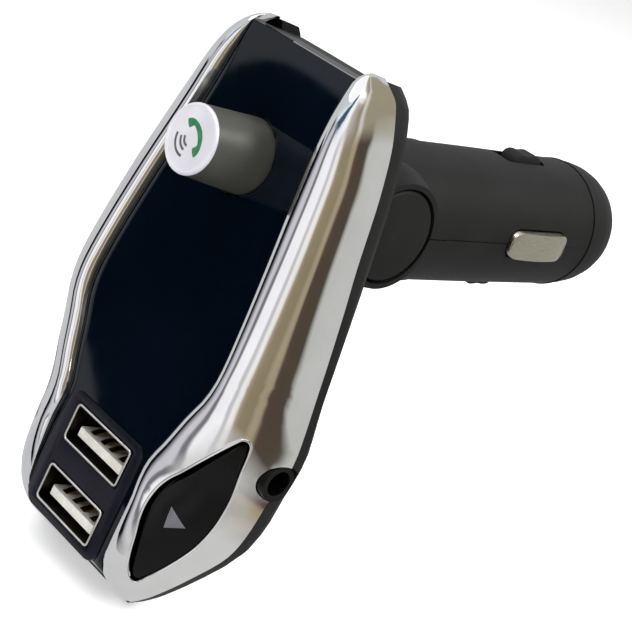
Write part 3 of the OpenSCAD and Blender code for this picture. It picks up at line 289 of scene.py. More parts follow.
# Silver lacquer on the knob's cap: turned satin rings under a clear coat, with slow clouds of tone
def spunLacquer(name, look):
    material, tree = newMaterial(name)
    spot = addNode(tree, "TexCoord").outputs["Object"]
    centred = addNode(tree, "Mapping", {"vector_type": "TEXTURE", "Location": look["centre"],
                                        "Rotation": (math.radians(headSet["lean"]), 0, 0)}, {"Vector": spot})
    rings = addNode(tree, "TexWave", {"wave_type": "RINGS", "rings_direction": "Y", "Scale": 1000 / look["pitch"],
                                      "Distortion": look["waver"], "Detail": 2.0},
                    {"Vector": centred.outputs["Vector"]})
    cloud = addNode(tree, "TexNoise", {"Scale": 1000 / look["cloud"], "Detail": 2.0}, {"Vector": spot})
    bump = addNode(tree, "Bump", {"Strength": look["bump"], "Distance": 0.01 * mm}, {"Height": rings.outputs["Fac"]})
    surface(tree, "BsdfPrincipled",
            {"Metallic": look["metal"], "Coat Weight": look["coat"], "Coat Roughness": look["coatRough"]},
            {"Base Color": toned(tree, cloud, look), "Normal": bump.outputs["Normal"],
             "Roughness": stretched(tree, rings.outputs["Fac"], *look["rough"], (0, 1))})
    return material


silverLacquer = spunLacquer("silverLacquer", {
    "centre": (0, -0.0421, 0.0072), "pitch": 0.6, "waver": 0.4, "cloud": 6, "dark": "#d2d0d7", "light": "#e3e1e7",
    "rough": (0.26, 0.35), "metal": 0.15, "bump": 0.12, "coat": 0.15, "coatRough": 0.15})


# Clear soda-lime glass of the fuse's tube, faintly green at its cut ends
def tubeGlass(name, look):
    material, tree = newMaterial(name)
    spot = addNode(tree, "TexCoord").outputs["Object"]
    drawn = addNode(tree, "TexNoise", {"Scale": 1000 / look["draw"], "Detail": 2.0}, {"Vector": spot})
    bump = addNode(tree, "Bump", {"Strength": look["bump"], "Distance": 0.02 * mm}, {"Height": drawn.outputs["Fac"]})
    surface(tree, "BsdfPrincipled",
            {"Base Color": linearColor(look["colour"]), "IOR": look["ior"], "Transmission Weight": 1.0},
            {"Normal": bump.outputs["Normal"],
             "Roughness": stretched(tree, drawn.outputs["Fac"], *look["rough"], (0, 1))})
    return material


fuseGlass = tubeGlass("fuseGlass", {"draw": 2.5, "colour": "#eef6f3", "ior": 1.52, "bump": 0.1, "rough": (0, 0.05)})
print("materials made:", len(bpy.data.materials))

# Which finish each of the record's slots gets
finishes = {
    "shell_plastic": erodedAbs, "pad_plastic": padPolyamide, "inner_plastic": innerPolyamide,
    "nickel_contact": nickelPlate, "spring_steel": zincSteel, "can_metal": tinnedSheet, "fuse_glass": fuseGlass,
    "circuit_board": solderMask, "window_gloss": tintedAcrylic, "port_plastic": portAbs, "trim_chrome": chromePlate,
    "tongue_plastic": tonguePolymer, "knob_plastic": knobLacquer, "knob_face_satin": silverLacquer,
    "button_gloss": glossAbs}
slotOf = {part["node"]: part["material_slot"] for part in frame["record"]["subparts"]}
bodyOf = {node: body for body, group in frame["record"]["behaviour"]["bodies"].items() for node in group}
# The socket shells take the painted-shade steel in place of their slot's finish, and the jack takes its own black
ownFinish = {"usb_shell_upper": shadeDarkenedSteel, "usb_shell_lower": shadeDarkenedSteel, "aux_jack": jackPolyamide}
for name, node in nodes.items():
    node.data.materials.clear()
    node.data.materials.append(ownFinish.get(name, finishes[slotOf[name]]))


# Small helpers for modelling
def chooseOnly(*items):
    bpy.ops.object.select_all(action="DESELECT")
    for item in items:
        item.select_set(True)
    bpy.context.view_layer.objects.active = items[0]


def applyModifier(piece, kind, settings):
    chooseOnly(piece)
    modifier = piece.modifiers.new(kind.lower(), kind)
    for name, value in settings.items():
        setattr(modifier, name, value)
    bpy.ops.object.modifier_apply(modifier=modifier.name)


def settle(piece):        # its place is written into its vertices
    chooseOnly(piece)
    bpy.ops.object.transform_apply(location=True, rotation=True, scale=True)


def finishPiece(piece, name, body, material):        # name, place, finish and body of a new piece
    settle(piece)
    piece.name = name
    piece.data.materials.clear()
    piece.data.materials.append(material)
    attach(piece, body)
    return piece


def editMesh(piece, *steps):        # mesh operators with their settings, each run on the whole piece
    chooseOnly(piece)
    bpy.ops.object.mode_set(mode="EDIT")
    for operator, settings in steps:
        bpy.ops.mesh.select_all(action="SELECT")
        operator(**settings)
    bpy.ops.object.mode_set(mode="OBJECT")


faceOutwards = (bpy.ops.mesh.normals_make_consistent, {"inside": False})


def loopThrough(spots, filling):        # a closed line through places in millimetres, bare or with a face in it
    bpy.ops.object.select_all(action="DESELECT")
    bpy.ops.mesh.primitive_circle_add(vertices=len(spots), radius=mm, fill_type=filling)
    piece = bpy.context.active_object
    for vertex, spot in zip(piece.data.vertices, spots):
        vertex.co = Vector(spot) * mm
    return piece


def prism(spots, reach):        # a closed column over an outline of places, pulled along reach, in millimetres
    piece = loopThrough(spots, "NGON")
    move = {"TRANSFORM_OT_translate": {"value": Vector(reach) * mm}}
    editMesh(piece, (bpy.ops.mesh.extrude_region_move, move), faceOutwards)
    return piece


def bead(spots, radius):        # a round bead along a closed line of places, in millimetres
    chooseOnly(loopThrough(spots, "NOTHING"))
    bpy.ops.object.convert(target="CURVE")
    piece = bpy.context.active_object
    piece.data.bevel_depth = radius * mm
    piece.data.bevel_resolution = 2
    bpy.ops.object.convert(target="MESH")
    bpy.ops.object.shade_smooth()
    return bpy.context.active_object


def cylinderAt(place, radius, length, turned, sides):        # in millimetres
    bpy.ops.object.select_all(action="DESELECT")
    bpy.ops.mesh.primitive_cylinder_add(vertices=sides, radius=radius * mm, depth=length * mm,
                                        location=Vector(place) * mm, rotation=turned)
    return bpy.context.active_object


def combine(piece, tool, operation):        # cut with, keep within or weld to a tool, which is used up
    applyModifier(piece, "BOOLEAN", {"object": tool, "operation": operation, "solver": "EXACT"})
    chooseOnly(tool)
    bpy.ops.object.delete()


def joined(pieces):
    chooseOnly(*pieces)
    bpy.ops.object.join()
    return bpy.context.active_object


def softEdges(piece, edge):        # a small rounding, (width, from which angle), along the sharp edges
    applyModifier(piece, "BEVEL", {"width": edge[0] * mm, "segments": 2, "limit_method": "ANGLE",
                                   "angle_limit": math.radians(edge[1])})


def smoothShade(piece, crease):        # smooth but for the edges sharper than the crease, in degrees
    chooseOnly(piece)
    bpy.ops.object.shade_smooth_by_angle(angle=math.radians(crease))


def inHead(piece):        # leaned with the head
    piece.matrix_world = headPlace
    return piece


def standFor(piece, name, nodeName):        # a node's stand-in, with its body, slot and finish
    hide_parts(nodeName)
    return finishPiece(piece, name, bodyOf[nodeName], finishes[slotOf[nodeName]])


# Curved mouldings are copied, merged and shaded smooth, so that their long curves mirror cleanly
def smoothCopy(nodeName, copySet):
    chooseOnly(nodes[nodeName])
    bpy.ops.object.duplicate()
    piece = bpy.context.active_object
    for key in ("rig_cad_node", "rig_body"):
        if key in piece:
            del piece[key]
    editMesh(piece, (bpy.ops.mesh.remove_doubles, {"threshold": copySet["merge"] * mm}),
             (bpy.ops.mesh.dissolve_limited, {"angle_limit": math.radians(copySet["flat"])}),
             (bpy.ops.mesh.customdata_custom_splitnormals_clear, {}))
    if "edge" in copySet:
        softEdges(piece, copySet["edge"])
    smoothShade(piece, copySet["crease"])
    words = nodeName.split("_")
    return standFor(piece, words[0] + "".join(word.capitalize() for word in words[1:]) + "Skin", nodeName)


copySets = {
    "rear_housing": {"merge": 0.005, "flat": 0.05, "crease": 35},
    "display_window": {"merge": 0.005, "flat": 0.05, "crease": 30},
    "nose_cap": {"merge": 0.005, "flat": 0.05, "crease": 32},
    "knob_sleeve": {"merge": 0.005, "flat": 0.05, "crease": 40},
    "port_plate": {"merge": 0.002, "flat": 0.5, "edge": (0.3, 50), "crease": 30},
    "side_contact_left": {"merge": 0.002, "flat": 0.5, "edge": (0.45, 35), "crease": 40},
    "side_contact_right": {"merge": 0.002, "flat": 0.5, "edge": (0.45, 35), "crease": 40}}
skins = {nodeName: smoothCopy(nodeName, copySet) for nodeName, copySet in copySets.items()}
# The knob's side becomes one straight taper
taperSet = {"centre": 3.34, "from": -8.66, "to": 1.0, "radius": 4.67, "inner": 4.6, "perLength": 0.054}
for vertex in skins["knob_sleeve"].data.vertices:
    spot = headPlace.inverted() @ vertex.co / mm
    out = math.hypot(spot.x, spot.z - taperSet["centre"])
    if out > taperSet["inner"] and spot.y < taperSet["to"]:
        share = (taperSet["radius"] + taperSet["perLength"] * (spot.y - taperSet["from"])) / out
        spot.x *= share
        spot.z = taperSet["centre"] + (spot.z - taperSet["centre"]) * share
        vertex.co = headPlace @ (spot * mm)
print("curved mouldings smoothed:", len(copySets))


# Chromed trims and the buttons let into them: one grid is bent through the head's long curves, each a list of
# [share of the height from the top, share of its own size], and the button's pocket is cut through it
trimSet = {"top": 20.4, "height": 78.5, "halfWidth": 23.69, "halfFace": 14.9, "depth": 14.2, "wall": 1.5, "crest": 1.5,
           "leg": 1.1, "seat": 2.0, "drop": 0.2, "gap": 0.05, "rows": 84, "crowding": 0.13, "lastRow": 0.993,
           "lipSteps": 4, "cheekSteps": 12, "crease": 40, "crestShare": 0.4, "lipRise": (0.02, 0.35), "lipTurn": 0.35,
           "cheekFall": 0.1, "cheekDraw": 0.35, "wallShare": 0.3, "legShare": 0.35, "legTop": 1.2,
           "insideFrom": 3,
           "outer": [(0, 0.46), (0.012, 0.505), (0.028, 0.555), (0.066, 0.625), (0.096, 0.67), (0.14, 0.717),
                     (0.19, 0.762), (0.285, 0.828), (0.353, 0.873), (0.478, 0.945), (0.605, 0.998), (0.65, 0.99),
                     (0.694, 0.966), (0.76, 0.945), (0.822, 0.895), (0.898, 0.768), (0.95, 0.645), (0.98, 0.55),
                     (1, 0.47)],
           "face": [(0, 0.7), (0.032, 0.712), (0.172, 0.772), (0.338, 0.899), (0.452, 0.973), (0.53, 1),
                    (0.575, 0.965), (0.618, 0.872), (0.678, 0.765), (0.722, 0.676), (0.76, 0.66), (0.796, 0.678),
                    (0.898, 0.655), (0.962, 0.624), (1, 0.58)],
           "faceDepth": [(0, 0.135), (0.032, 0.113), (0.172, 0.065), (0.338, 0.015), (0.52, -0.02), (0.7, -0.02),
                         (0.925, -0.02), (0.94, 0), (0.955, 0.08), (0.97, 0.24), (1, 0.5)],
           "ridge": [(0, 0.3), (0.005, 0.225), (0.014, 0.15), (0.03, 0.08), (0.05, 0.025), (0.09, -0.03),
                     (0.172, -0.065), (0.338, -0.115), (0.52, -0.15), (0.65, -0.145), (0.76, -0.13), (0.86, -0.1),
                     (0.915, -0.04), (0.95, 0.07), (0.975, 0.2), (0.99, 0.32), (1, 0.42)],
           "parting": [(0, 0.46), (0.03, 0.555), (0.285, 0.556), (0.365, 0.578), (0.5, 0.613), (0.63, 0.665),
                       (0.72, 0.65), (0.82, 0.63), (0.885, 0.5), (0.925, 0.444), (0.975, 0.43), (1, 0.46)],
           "bulge": [(0, 0.62), (0.2, 0.62), (0.5, 0.56), (0.64, 0.42), (0.8, 0.3), (0.95, 0.4), (1, 0.5)]}
pocketSet = {"outline": [(20.95, -28.1), (20.75, -30.2), (20.35, -33.5), (19.95, -37.8), (19.3, -41.8), (18.3, -45.2),
                         (16.7, -48.9), (14.8, -52.1), (14.25, -52.75), (13.75, -52.6), (13.5, -51.8), (13.4, -49.3),
                         (13.25, -46), (13.0, -43.3), (13.05, -40.8), (13.45, -38.7), (14.2, -36.9), (15.3, -35.2),
                         (17.0, -32.5), (18.7, -29.7), (19.9, -27.7), (20.25, -27.2), (20.65, -27.1), (20.9, -27.5)],
             "steps": 4, "cutFront": -8, "cutBack": 30, "jack": (24, 9.2, -31.5), "jackRadius": 2.75, "jackSides": 64,
             "jackReach": 20}
rimSet = {"radius": 0.2, "sink": 0.06}
buttonSet = {"outline": [(20.5, -27.9), (20.45, -29.6), (20.1, -33.5), (19.7, -37.8), (19.05, -41.7), (18.05, -45.1),
                         (16.5, -48.7), (14.75, -51.6), (14.2, -52.0), (13.95, -51.4), (13.95, -49.3), (13.8, -46),
                         (13.6, -43.3), (13.7, -40.8), (14.05, -38.9), (14.8, -37.2), (15.9, -35.5), (17.6, -32.6),
                         (19.1, -29.9), (20.1, -28.1)],
             "gap": 0.15, "inset": 0.3, "step": 0.8, "skin": 2.0, "rowsFrom": 0.55, "rowsTo": 0.98, "back": 8.05,
             "footDrop": 0.01, "post": (14.0, 5.2, -40.8), "postRadius": 1.1, "postLength": 2.6, "postSides": 32,
             "edge": (0.12, 50), "crease": 35, "jackRadius": 3.0, "jackFront": 6.45,
             "jackRoom": [(9, -35.1), (19.8, -35.1), (19.8, -27.9), (9, -27.9)]}


def easedBetween(a, b, leave, arrive, t):        # from a to b, with the slopes at both ends
    return (a * (1 + 2 * t) * (1 - t) ** 2 + leave * t * (1 - t) ** 2
            + b * t * t * (3 - 2 * t) + arrive * t * t * (t - 1))


def curveAt(table, share):        # smooth curve through the points of a list
    def slope(k):
        a, b = max(k - 1, 0), min(k + 1, len(table) - 1)
        return (table[b][1] - table[a][1]) / (table[b][0] - table[a][0])
    i = max(k for k in range(len(table) - 1) if share >= table[k][0] or k == 0)
    run = table[i + 1][0] - table[i][0]
    return easedBetween(table[i][1], table[i + 1][1], run * slope(i), run * slope(i + 1), (share - table[i][0]) / run)


def cubicAt(p, t):        # point of a cubic curve, and the unit normal that points into the wall
    spot = p[0] * (1 - t) ** 3 + p[1] * 3 * t * (1 - t) ** 2 + p[2] * 3 * t * t * (1 - t) + p[3] * t ** 3
    run = (p[1] - p[0]) * (1 - t) ** 2 + (p[2] - p[1]) * 2 * t * (1 - t) + (p[3] - p[2]) * t * t
    return spot, Vector((-run.y, run.x)).normalized()


def trimCurves(share):        # lip beside the window and cheek out to the housing, in the section at this height
    scales = {"outer": "halfWidth", "face": "halfFace", "ridge": "depth", "faceDepth": "depth", "parting": "depth"}
    outer, face, ridge, front, parting = (curveAt(trimSet[table], share) * trimSet[scale]
                                          for table, scale in scales.items())
    front, bulge = max(front, ridge + trimSet["drop"]), curveAt(trimSet["bulge"], share)
    inset = min(trimSet["crest"], trimSet["crestShare"] * (outer - face))
    aside, upward = trimSet["lipRise"]
    lip = [Vector(v) for v in ((face, front), (face + aside * inset, ridge + upward * (front - ridge)),
                               (face + trimSet["lipTurn"] * inset, ridge), (face + inset, ridge))]
    a, b = lip[3], Vector((outer, parting - trimSet["gap"]))
    over, deep = b.x - a.x, b.y - a.y
    cheek = [a, Vector((a.x + bulge * over, a.y + trimSet["cheekFall"] * (1 - bulge) * deep)),
             Vector((b.x - trimSet["cheekDraw"] * (1 - bulge) * over, b.y - bulge * deep)), b]
    return lip, cheek, outer - face, parting


def trimOutside(share):
    lip, cheek = trimCurves(share)[:2]
    return ([cubicAt(lip, i / trimSet["lipSteps"])[0] for i in range(trimSet["lipSteps"])]
            + [cubicAt(cheek, i / trimSet["cheekSteps"])[0] for i in range(trimSet["cheekSteps"] + 1)])


def trimDepth(x, z):        # how deep the trim's outside lies at a place of the head's front view
    line = trimOutside((trimSet["top"] - z) / trimSet["height"])
    for a, b in zip(line, line[1:]):
        if a.x <= x <= b.x:
            return a.y + (b.y - a.y) * (x - a.x) / (b.x - a.x)
    return line[-1].y


def trimSection(share):        # whole ring of the wall: its leg beside the window, its outside and its inside
    lip, cheek, width, parting = trimCurves(share)
    wall, leg = min(trimSet["wall"], trimSet["wallShare"] * width), min(trimSet["leg"], trimSet["legShare"] * width)
    seat = min(max(lip[0].y + trimSet["seat"], lip[3].y + 2 * wall), (parting + lip[3].y) / 2 + wall)
    steps = range(trimSet["insideFrom"], trimSet["cheekSteps"])[::-1]
    inside = [spot + wall * inward for spot, inward in (cubicAt(cheek, i / trimSet["cheekSteps"]) for i in steps)]
    return ([Vector((lip[0].x, seat))] + trimOutside(share) + [cheek[3] - Vector((wall, 0))] + inside
            + [Vector((lip[0].x + leg, max(lip[3].y + trimSet["legTop"] * wall, 0))), Vector((lip[0].x + leg, seat))])


def bentGrid(sections, heights, side):        # a grid rolled into a tube through the sections, its ends closed
    columns = len(sections[0])
    bpy.ops.object.select_all(action="DESELECT")
    bpy.ops.mesh.primitive_grid_add(x_subdivisions=columns, y_subdivisions=len(sections) - 1, size=mm)
    piece = bpy.context.active_object
    for index, vertex in enumerate(piece.data.vertices):
        row, column = divmod(index, columns + 1)
        spot = sections[row][column % columns]
        vertex.co = (side * spot.x * mm, spot.y * mm, heights[row] * mm)
    editMesh(piece, (bpy.ops.mesh.remove_doubles, {"threshold": 0.002 * mm}), (bpy.ops.mesh.fill_holes, {"sides": 0}),
             faceOutwards)
    return piece


def outlineColumn(outline, side, front=pocketSet["cutFront"], back=pocketSet["cutBack"]):        # along the depth
    return prism([(side * x, front, z) for x, z in outline], (0, back - front, 0))


def roundedOutline(points, steps):        # the outline drawn through its points as one soft closed curve
    count, outline = len(points), []
    for i in range(count):
        a, b, c, d = (Vector(points[(i + k) % count]) for k in (-1, 0, 1, 2))
        leave, arrive = (c - a).normalized() * (c - b).length, (d - b).normalized() * (c - b).length
        outline += [tuple(easedBetween(b, c, leave, arrive, k / steps)) for k in range(steps)]
    return outline


def drawnIn(outline, gap):        # the outline moved inwards by a gap
    count, inner = len(outline), []
    for i in range(count):
        run = (Vector(outline[(i + 1) % count]) - Vector(outline[i - 1])).normalized()
        inner.append((outline[i][0] + gap * run.y, outline[i][1] - gap * run.x))
    return inner


def jackDrill(radius):        # a cylinder along the jack's axis, from the side inwards
    return cylinderAt(pocketSet["jack"], radius, pocketSet["jackReach"], (0, math.pi / 2, 0), pocketSet["jackSides"])


# Rows stand closer together at both ends
rowTurns = [i / trimSet["rows"] for i in range(trimSet["rows"] + 1)]
rowShares = [trimSet["lastRow"] * (turn - trimSet["crowding"] * math.sin(2 * math.pi * turn)) for turn in rowTurns]
heights = [trimSet["top"] - share * trimSet["height"] for share in rowShares]
lowRows = [i for i, share in enumerate(rowShares) if buttonSet["rowsFrom"] < share < buttonSet["rowsTo"]]
pocket = roundedOutline(pocketSet["outline"], pocketSet["steps"])
buttons = {}
for side, word in ((-1, "left"), (1, "right")):
    trim = bentGrid([trimSection(share) for share in rowShares], heights, side)
    combine(trim, outlineColumn(pocket, side), "DIFFERENCE")
    if side == 1:
        combine(trim, jackDrill(pocketSet["jackRadius"]), "DIFFERENCE")
    smoothShade(standFor(inHead(trim), word + "ChromeTrim", "trim_" + word), trimSet["crease"])
    rim = bead([(side * x, trimDepth(x, z) + rimSet["sink"], z) for x, z in pocket], rimSet["radius"])
    finishPiece(inHead(rim), word + "PocketRim", "head", chromePlate)
    shells = []
    for shift in (0, buttonSet["step"], buttonSet["skin"]):
        deep, sections = Vector((0, buttonSet["inset"] + shift)), []
        for i in lowRows:
            front = [spot + deep for spot in trimOutside(rowShares[i])]
            sections.append(front + [Vector((spot.x, pocketSet["cutBack"])) for spot in (front[-1], front[0])])
        shells.append(bentGrid(sections, [heights[i] for i in lowRows], side))
    outline = roundedOutline(buttonSet["outline"], pocketSet["steps"])
    cap = outlineColumn(outline, side, back=buttonSet["back"])
    combine(cap, shells[0], "INTERSECT")
    softEdges(cap, buttonSet["edge"])
    foot = outlineColumn(drawnIn(pocket, buttonSet["gap"]), side, back=buttonSet["back"] - buttonSet["footDrop"])
    combine(foot, shells[1], "INTERSECT")
    combine(cap, foot, "UNION")
    combine(cap, shells[2], "DIFFERENCE")
    if side == 1:        # room for the jack behind the pressed cap
        combine(cap, outlineColumn(buttonSet["jackRoom"], side, front=buttonSet["jackFront"]), "DIFFERENCE")
        combine(cap, jackDrill(buttonSet["jackRadius"]), "DIFFERENCE")
    x, y, z = buttonSet["post"]
    post = cylinderAt((side * x, y, z), buttonSet["postRadius"], buttonSet["postLength"], (math.pi / 2, 0, 0),
                      buttonSet["postSides"])
    buttons[word] = standFor(inHead(joined([cap, post])), word + "ButtonCap", "button_" + word)
    smoothShade(buttons[word], buttonSet["crease"])
print("trims and buttons bent and cut")


# Marks: a flat outline is laid on its face and raised by the thickness of the print
# Handset and three waves printed on the knob's cap, turned as the photograph shows the knob
knobMark = {"face": (0, -9.06, 3.34), "turn": 45, "height": 0.03,
            "half": [(0, 2.15), (0.75, 2.05), (1.45, 1.78), (2.08, 1.36), (2.48, 0.85), (2.66, 0.3), (2.6, 0.08),
                     (2.0, 0.02), (1.5, 0.08), (1.4, 0.3), (1.44, 0.8), (1.3, 1.08), (0.9, 1.22), (0.45, 1.3),
                     (0, 1.33)],
            "waves": [(2.22, -0.44, 48), (1.54, -0.19, 40), (0.91, -0.13, 50)], "waveWidth": 0.34, "waveSteps": 16}
handset = knobMark["half"] + [(-x, z) for x, z in reversed(knobMark["half"][1:-1])]


def waveOutline(radius, middle, halfAngle):        # an arc that opens downwards, with its width
    steps, half = knobMark["waveSteps"], knobMark["waveWidth"] / 2
    turns = [math.radians(halfAngle * (2 * i / steps - 1) - 90) for i in range(steps + 1)]
    outer, inner = ([(r * math.cos(a), middle + r * math.sin(a)) for a in turns]
                    for r in (radius + half, radius - half))
    return outer + inner[::-1]


def knobPrint(outline, name, ink):
    mark = prism([(x, 0, z) for x, z in outline], (0, -knobMark["height"], 0))
    face = Matrix.Translation(Vector(knobMark["face"]) * mm) @ Matrix.Rotation(math.radians(knobMark["turn"]), 4, "Y")
    mark.matrix_world = headPlace @ face
    finishPiece(mark, name, "knob", ink)


knobPrint(handset, "knobHandsetMark", greenInk)
for i, wave in enumerate(knobMark["waves"]):
    knobPrint(waveOutline(*wave), "knobWaveMark" + str(i + 1), greyInk)

# Triangles printed on the side buttons, laid onto the curve of each cap
buttonMark = {"corners": [(15.35, -40.3), (15.4, -43.5), (17.2, -42.35)], "start": -8, "cuts": 8, "lift": 0.01,
              "height": 0.03}
for side, word in ((-1, "left"), (1, "right")):
    mark = loopThrough([(side * x, buttonMark["start"], z) for x, z in buttonMark["corners"]], "NGON")
    editMesh(mark, (bpy.ops.mesh.subdivide, {"number_cuts": buttonMark["cuts"]}))
    inHead(mark)
    applyModifier(mark, "SHRINKWRAP", {"target": buttons[word], "wrap_method": "PROJECT", "use_project_y": True,
                                       "use_negative_direction": False, "use_positive_direction": True,
                                       "offset": buttonMark["lift"] * mm})
    applyModifier(mark, "SOLIDIFY", {"thickness": buttonMark["height"] * mm, "offset": 0})
    editMesh(mark, faceOutwards)
    finishPiece(mark, word + "ButtonMark", "button_" + word, paleInk)
print("marks printed")


def roundedBox(halfX, halfZ, radius, steps):        # corners of a rounded rectangle about the origin
    corners = [(halfX - radius, halfZ - radius, 0), (radius - halfX, halfZ - radius, 90),
               (radius - halfX, radius - halfZ, 180), (halfX - radius, radius - halfZ, 270)]
    return [(x + radius * math.cos(math.radians(start + 90 * i / steps)),
             z + radius * math.sin(math.radians(start + 90 * i / steps)))
            for x, z, start in corners for i in range(steps + 1)]


# USB sockets: a bright folded rim round each mouth, a thin tongue on its block and four springs on the tongue
socketSet = {"middles": {"upper": -40.5, "lower": -49.9}, "rimBox": (6.37, 2.67, 0.55, 5), "rimRadius": 0.17,
             "rimFront": -0.62, "tongueFoot": -1.55, "tongueThick": 1.35, "edge": (0.12, 30),
             "tongue": [(-5.6, 0.85), (-5.15, 0.3), (5.15, 0.3), (5.6, 0.85), (5.6, 8.8), (-5.6, 8.8)],
             "blockBox": (6.2, 2.5, 0.2, 2), "blockFront": 8.7, "blockBack": 9.9,
             "springs": (-3.5, -1.0, 1.0, 3.5), "springWidth": 1.0, "springSheet": 0.2,
             "springLine": [(1.1, 0.02), (1.7, 0.28), (2.6, 0.62), (3.5, 0.7), (4.6, 0.5), (6.2, 0.22), (8.7, 0.12)]}
for word, middle in socketSet["middles"].items():
    mouth = [(x, socketSet["rimFront"], middle + z) for x, z in roundedBox(*socketSet["rimBox"])]
    finishPiece(inHead(bead(mouth, socketSet["rimRadius"])), word + "SocketRim", "head", rimNickel)
    foot = middle + socketSet["tongueFoot"]
    blade = prism([(x, y, foot) for x, y in socketSet["tongue"]], (0, 0, socketSet["tongueThick"]))
    softEdges(blade, socketSet["edge"])
    block = prism([(x, socketSet["blockFront"], middle + z) for x, z in roundedBox(*socketSet["blockBox"])],
                  (0, socketSet["blockBack"] - socketSet["blockFront"], 0))
    standFor(inHead(joined([blade, block])), word + "SocketTongue", "usb_tongue_" + word)
    top, line, wide, springs = foot + socketSet["tongueThick"], socketSet["springLine"], socketSet["springWidth"], []
    for x in socketSet["springs"]:
        side = [(x - wide / 2, y, top + rise) for y, rise in line]
        under = [(x - wide / 2, y, top + rise - socketSet["springSheet"]) for y, rise in line[::-1]]
        springs.append(prism(side + under, (wide, 0, 0)))
    finishPiece(inHead(joined(springs)), word + "SocketSprings", "head", goldFlash)
print("sockets dressed")

# Grip pads: a block with two humps on a thin flange that keeps it in its slot
padSet = {"half": 1.65, "edge": (0.4, 30), "crease": 35, "flangeBox": (2.7, 5.17, 0.3, 2), "flangeMiddle": 21.2,
          "flangeLow": 6.78, "flangeThick": 0.8,
          "profile": [(18.9, 7.4), (18.9, 9.5), (19.05, 10.2), (19.5, 10.7), (20.2, 10.95), (20.9, 10.93), (21.6, 10.8),
                      (22.2, 10.78), (22.9, 10.9), (23.6, 10.92), (24.3, 10.75), (24.9, 10.3), (25.2, 9.5),
                      (25.3, 7.4)]}
for side, word in ((1, "top"), (-1, "bottom")):
    body = prism([(-padSet["half"], y, side * z) for y, z in padSet["profile"]], (2 * padSet["half"], 0, 0))
    softEdges(body, padSet["edge"])
    low = side * padSet["flangeLow"]
    flange = prism([(x, padSet["flangeMiddle"] + y, low) for x, y in roundedBox(*padSet["flangeBox"])],
                   (0, 0, side * padSet["flangeThick"]))
    smoothShade(standFor(joined([body, flange]), word + "GripPad", "grip_pad_" + word), padSet["crease"])

# Ring in the joint between the shells and the nose: painted shade, a dark line where the seam's shadow falls
seamShadeRingSet = {"place": 33.54, "radius": 9.85, "thick": 0.22, "steps": 96}
turns = [2 * math.pi * i / seamShadeRingSet["steps"] for i in range(seamShadeRingSet["steps"])]
seamShadeRing = bead([(seamShadeRingSet["radius"] * math.cos(a), seamShadeRingSet["place"], seamShadeRingSet["radius"] * math.sin(a)) for a in turns],
            seamShadeRingSet["thick"])
finishPiece(seamShadeRing, "noseSeamShadeRing", "plug", seamShadeBlack)

# Housing screws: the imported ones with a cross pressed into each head
screwSet = {"rows": [(7.6, 13.9, 11.88), (6.6, -31.6, 13.46)], "arm": 1.1, "half": 0.24, "deep": 0.5}
screws = smoothCopy("housing_screws", {"merge": 0.002, "flat": 0.1, "crease": 35})
screws.matrix_world = headPlace.inverted()
settle(screws)
for x, z, back in screwSet["rows"]:
    for middle in (-x, x):
        for halfX, halfZ in ((screwSet["arm"], screwSet["half"]), (screwSet["half"], screwSet["arm"])):
            corners = ((-halfX, -halfZ), (halfX, -halfZ), (halfX, halfZ), (-halfX, halfZ))
            slit = prism([(middle + a, back - screwSet["deep"], z + b) for a, b in corners],
                         (0, 2 * screwSet["deep"], 0))
            combine(screws, slit, "DIFFERENCE")
settle(inHead(screws))
print("plug dressed")

# Floor and backdrop in one white sheet, on which the object keeps its soft shadow
floorSet = {"size": 8.0, "drop": 0.0002, "colour": "#f2f2f2", "lift": 0.42, "fibre": 300.0, "bump": 0.05}
bpy.ops.object.select_all(action="DESELECT")
bpy.ops.mesh.primitive_plane_add(size=floorSet["size"], location=(0, 0, cadLow.z - floorSet["drop"]))
floor = bpy.context.active_object
floor.name = "floor"
floorPaper, tree = newMaterial("floorPaper")
spot = addNode(tree, "TexCoord").outputs["Object"]
fibre = addNode(tree, "TexNoise", {"Scale": floorSet["fibre"], "Detail": 2.0}, {"Vector": spot})
bump = addNode(tree, "Bump", {"Strength": floorSet["bump"], "Distance": 0.1 * mm}, {"Height": fibre.outputs["Fac"]})
sheet = addNode(tree, "BsdfDiffuse", {"Color": linearColor(floorSet["colour"])}, {"Normal": bump.outputs["Normal"]})
glow = addNode(tree, "Emission", {"Color": (1, 1, 1, 1)},
               {"Strength": computed(tree, "MULTIPLY", seenRays(tree), floorSet["lift"])})
surface(tree, "AddShader", {}, {0: sheet.outputs["BSDF"], 1: glow.outputs["Emission"]})
floor.data.materials.append(floorPaper)
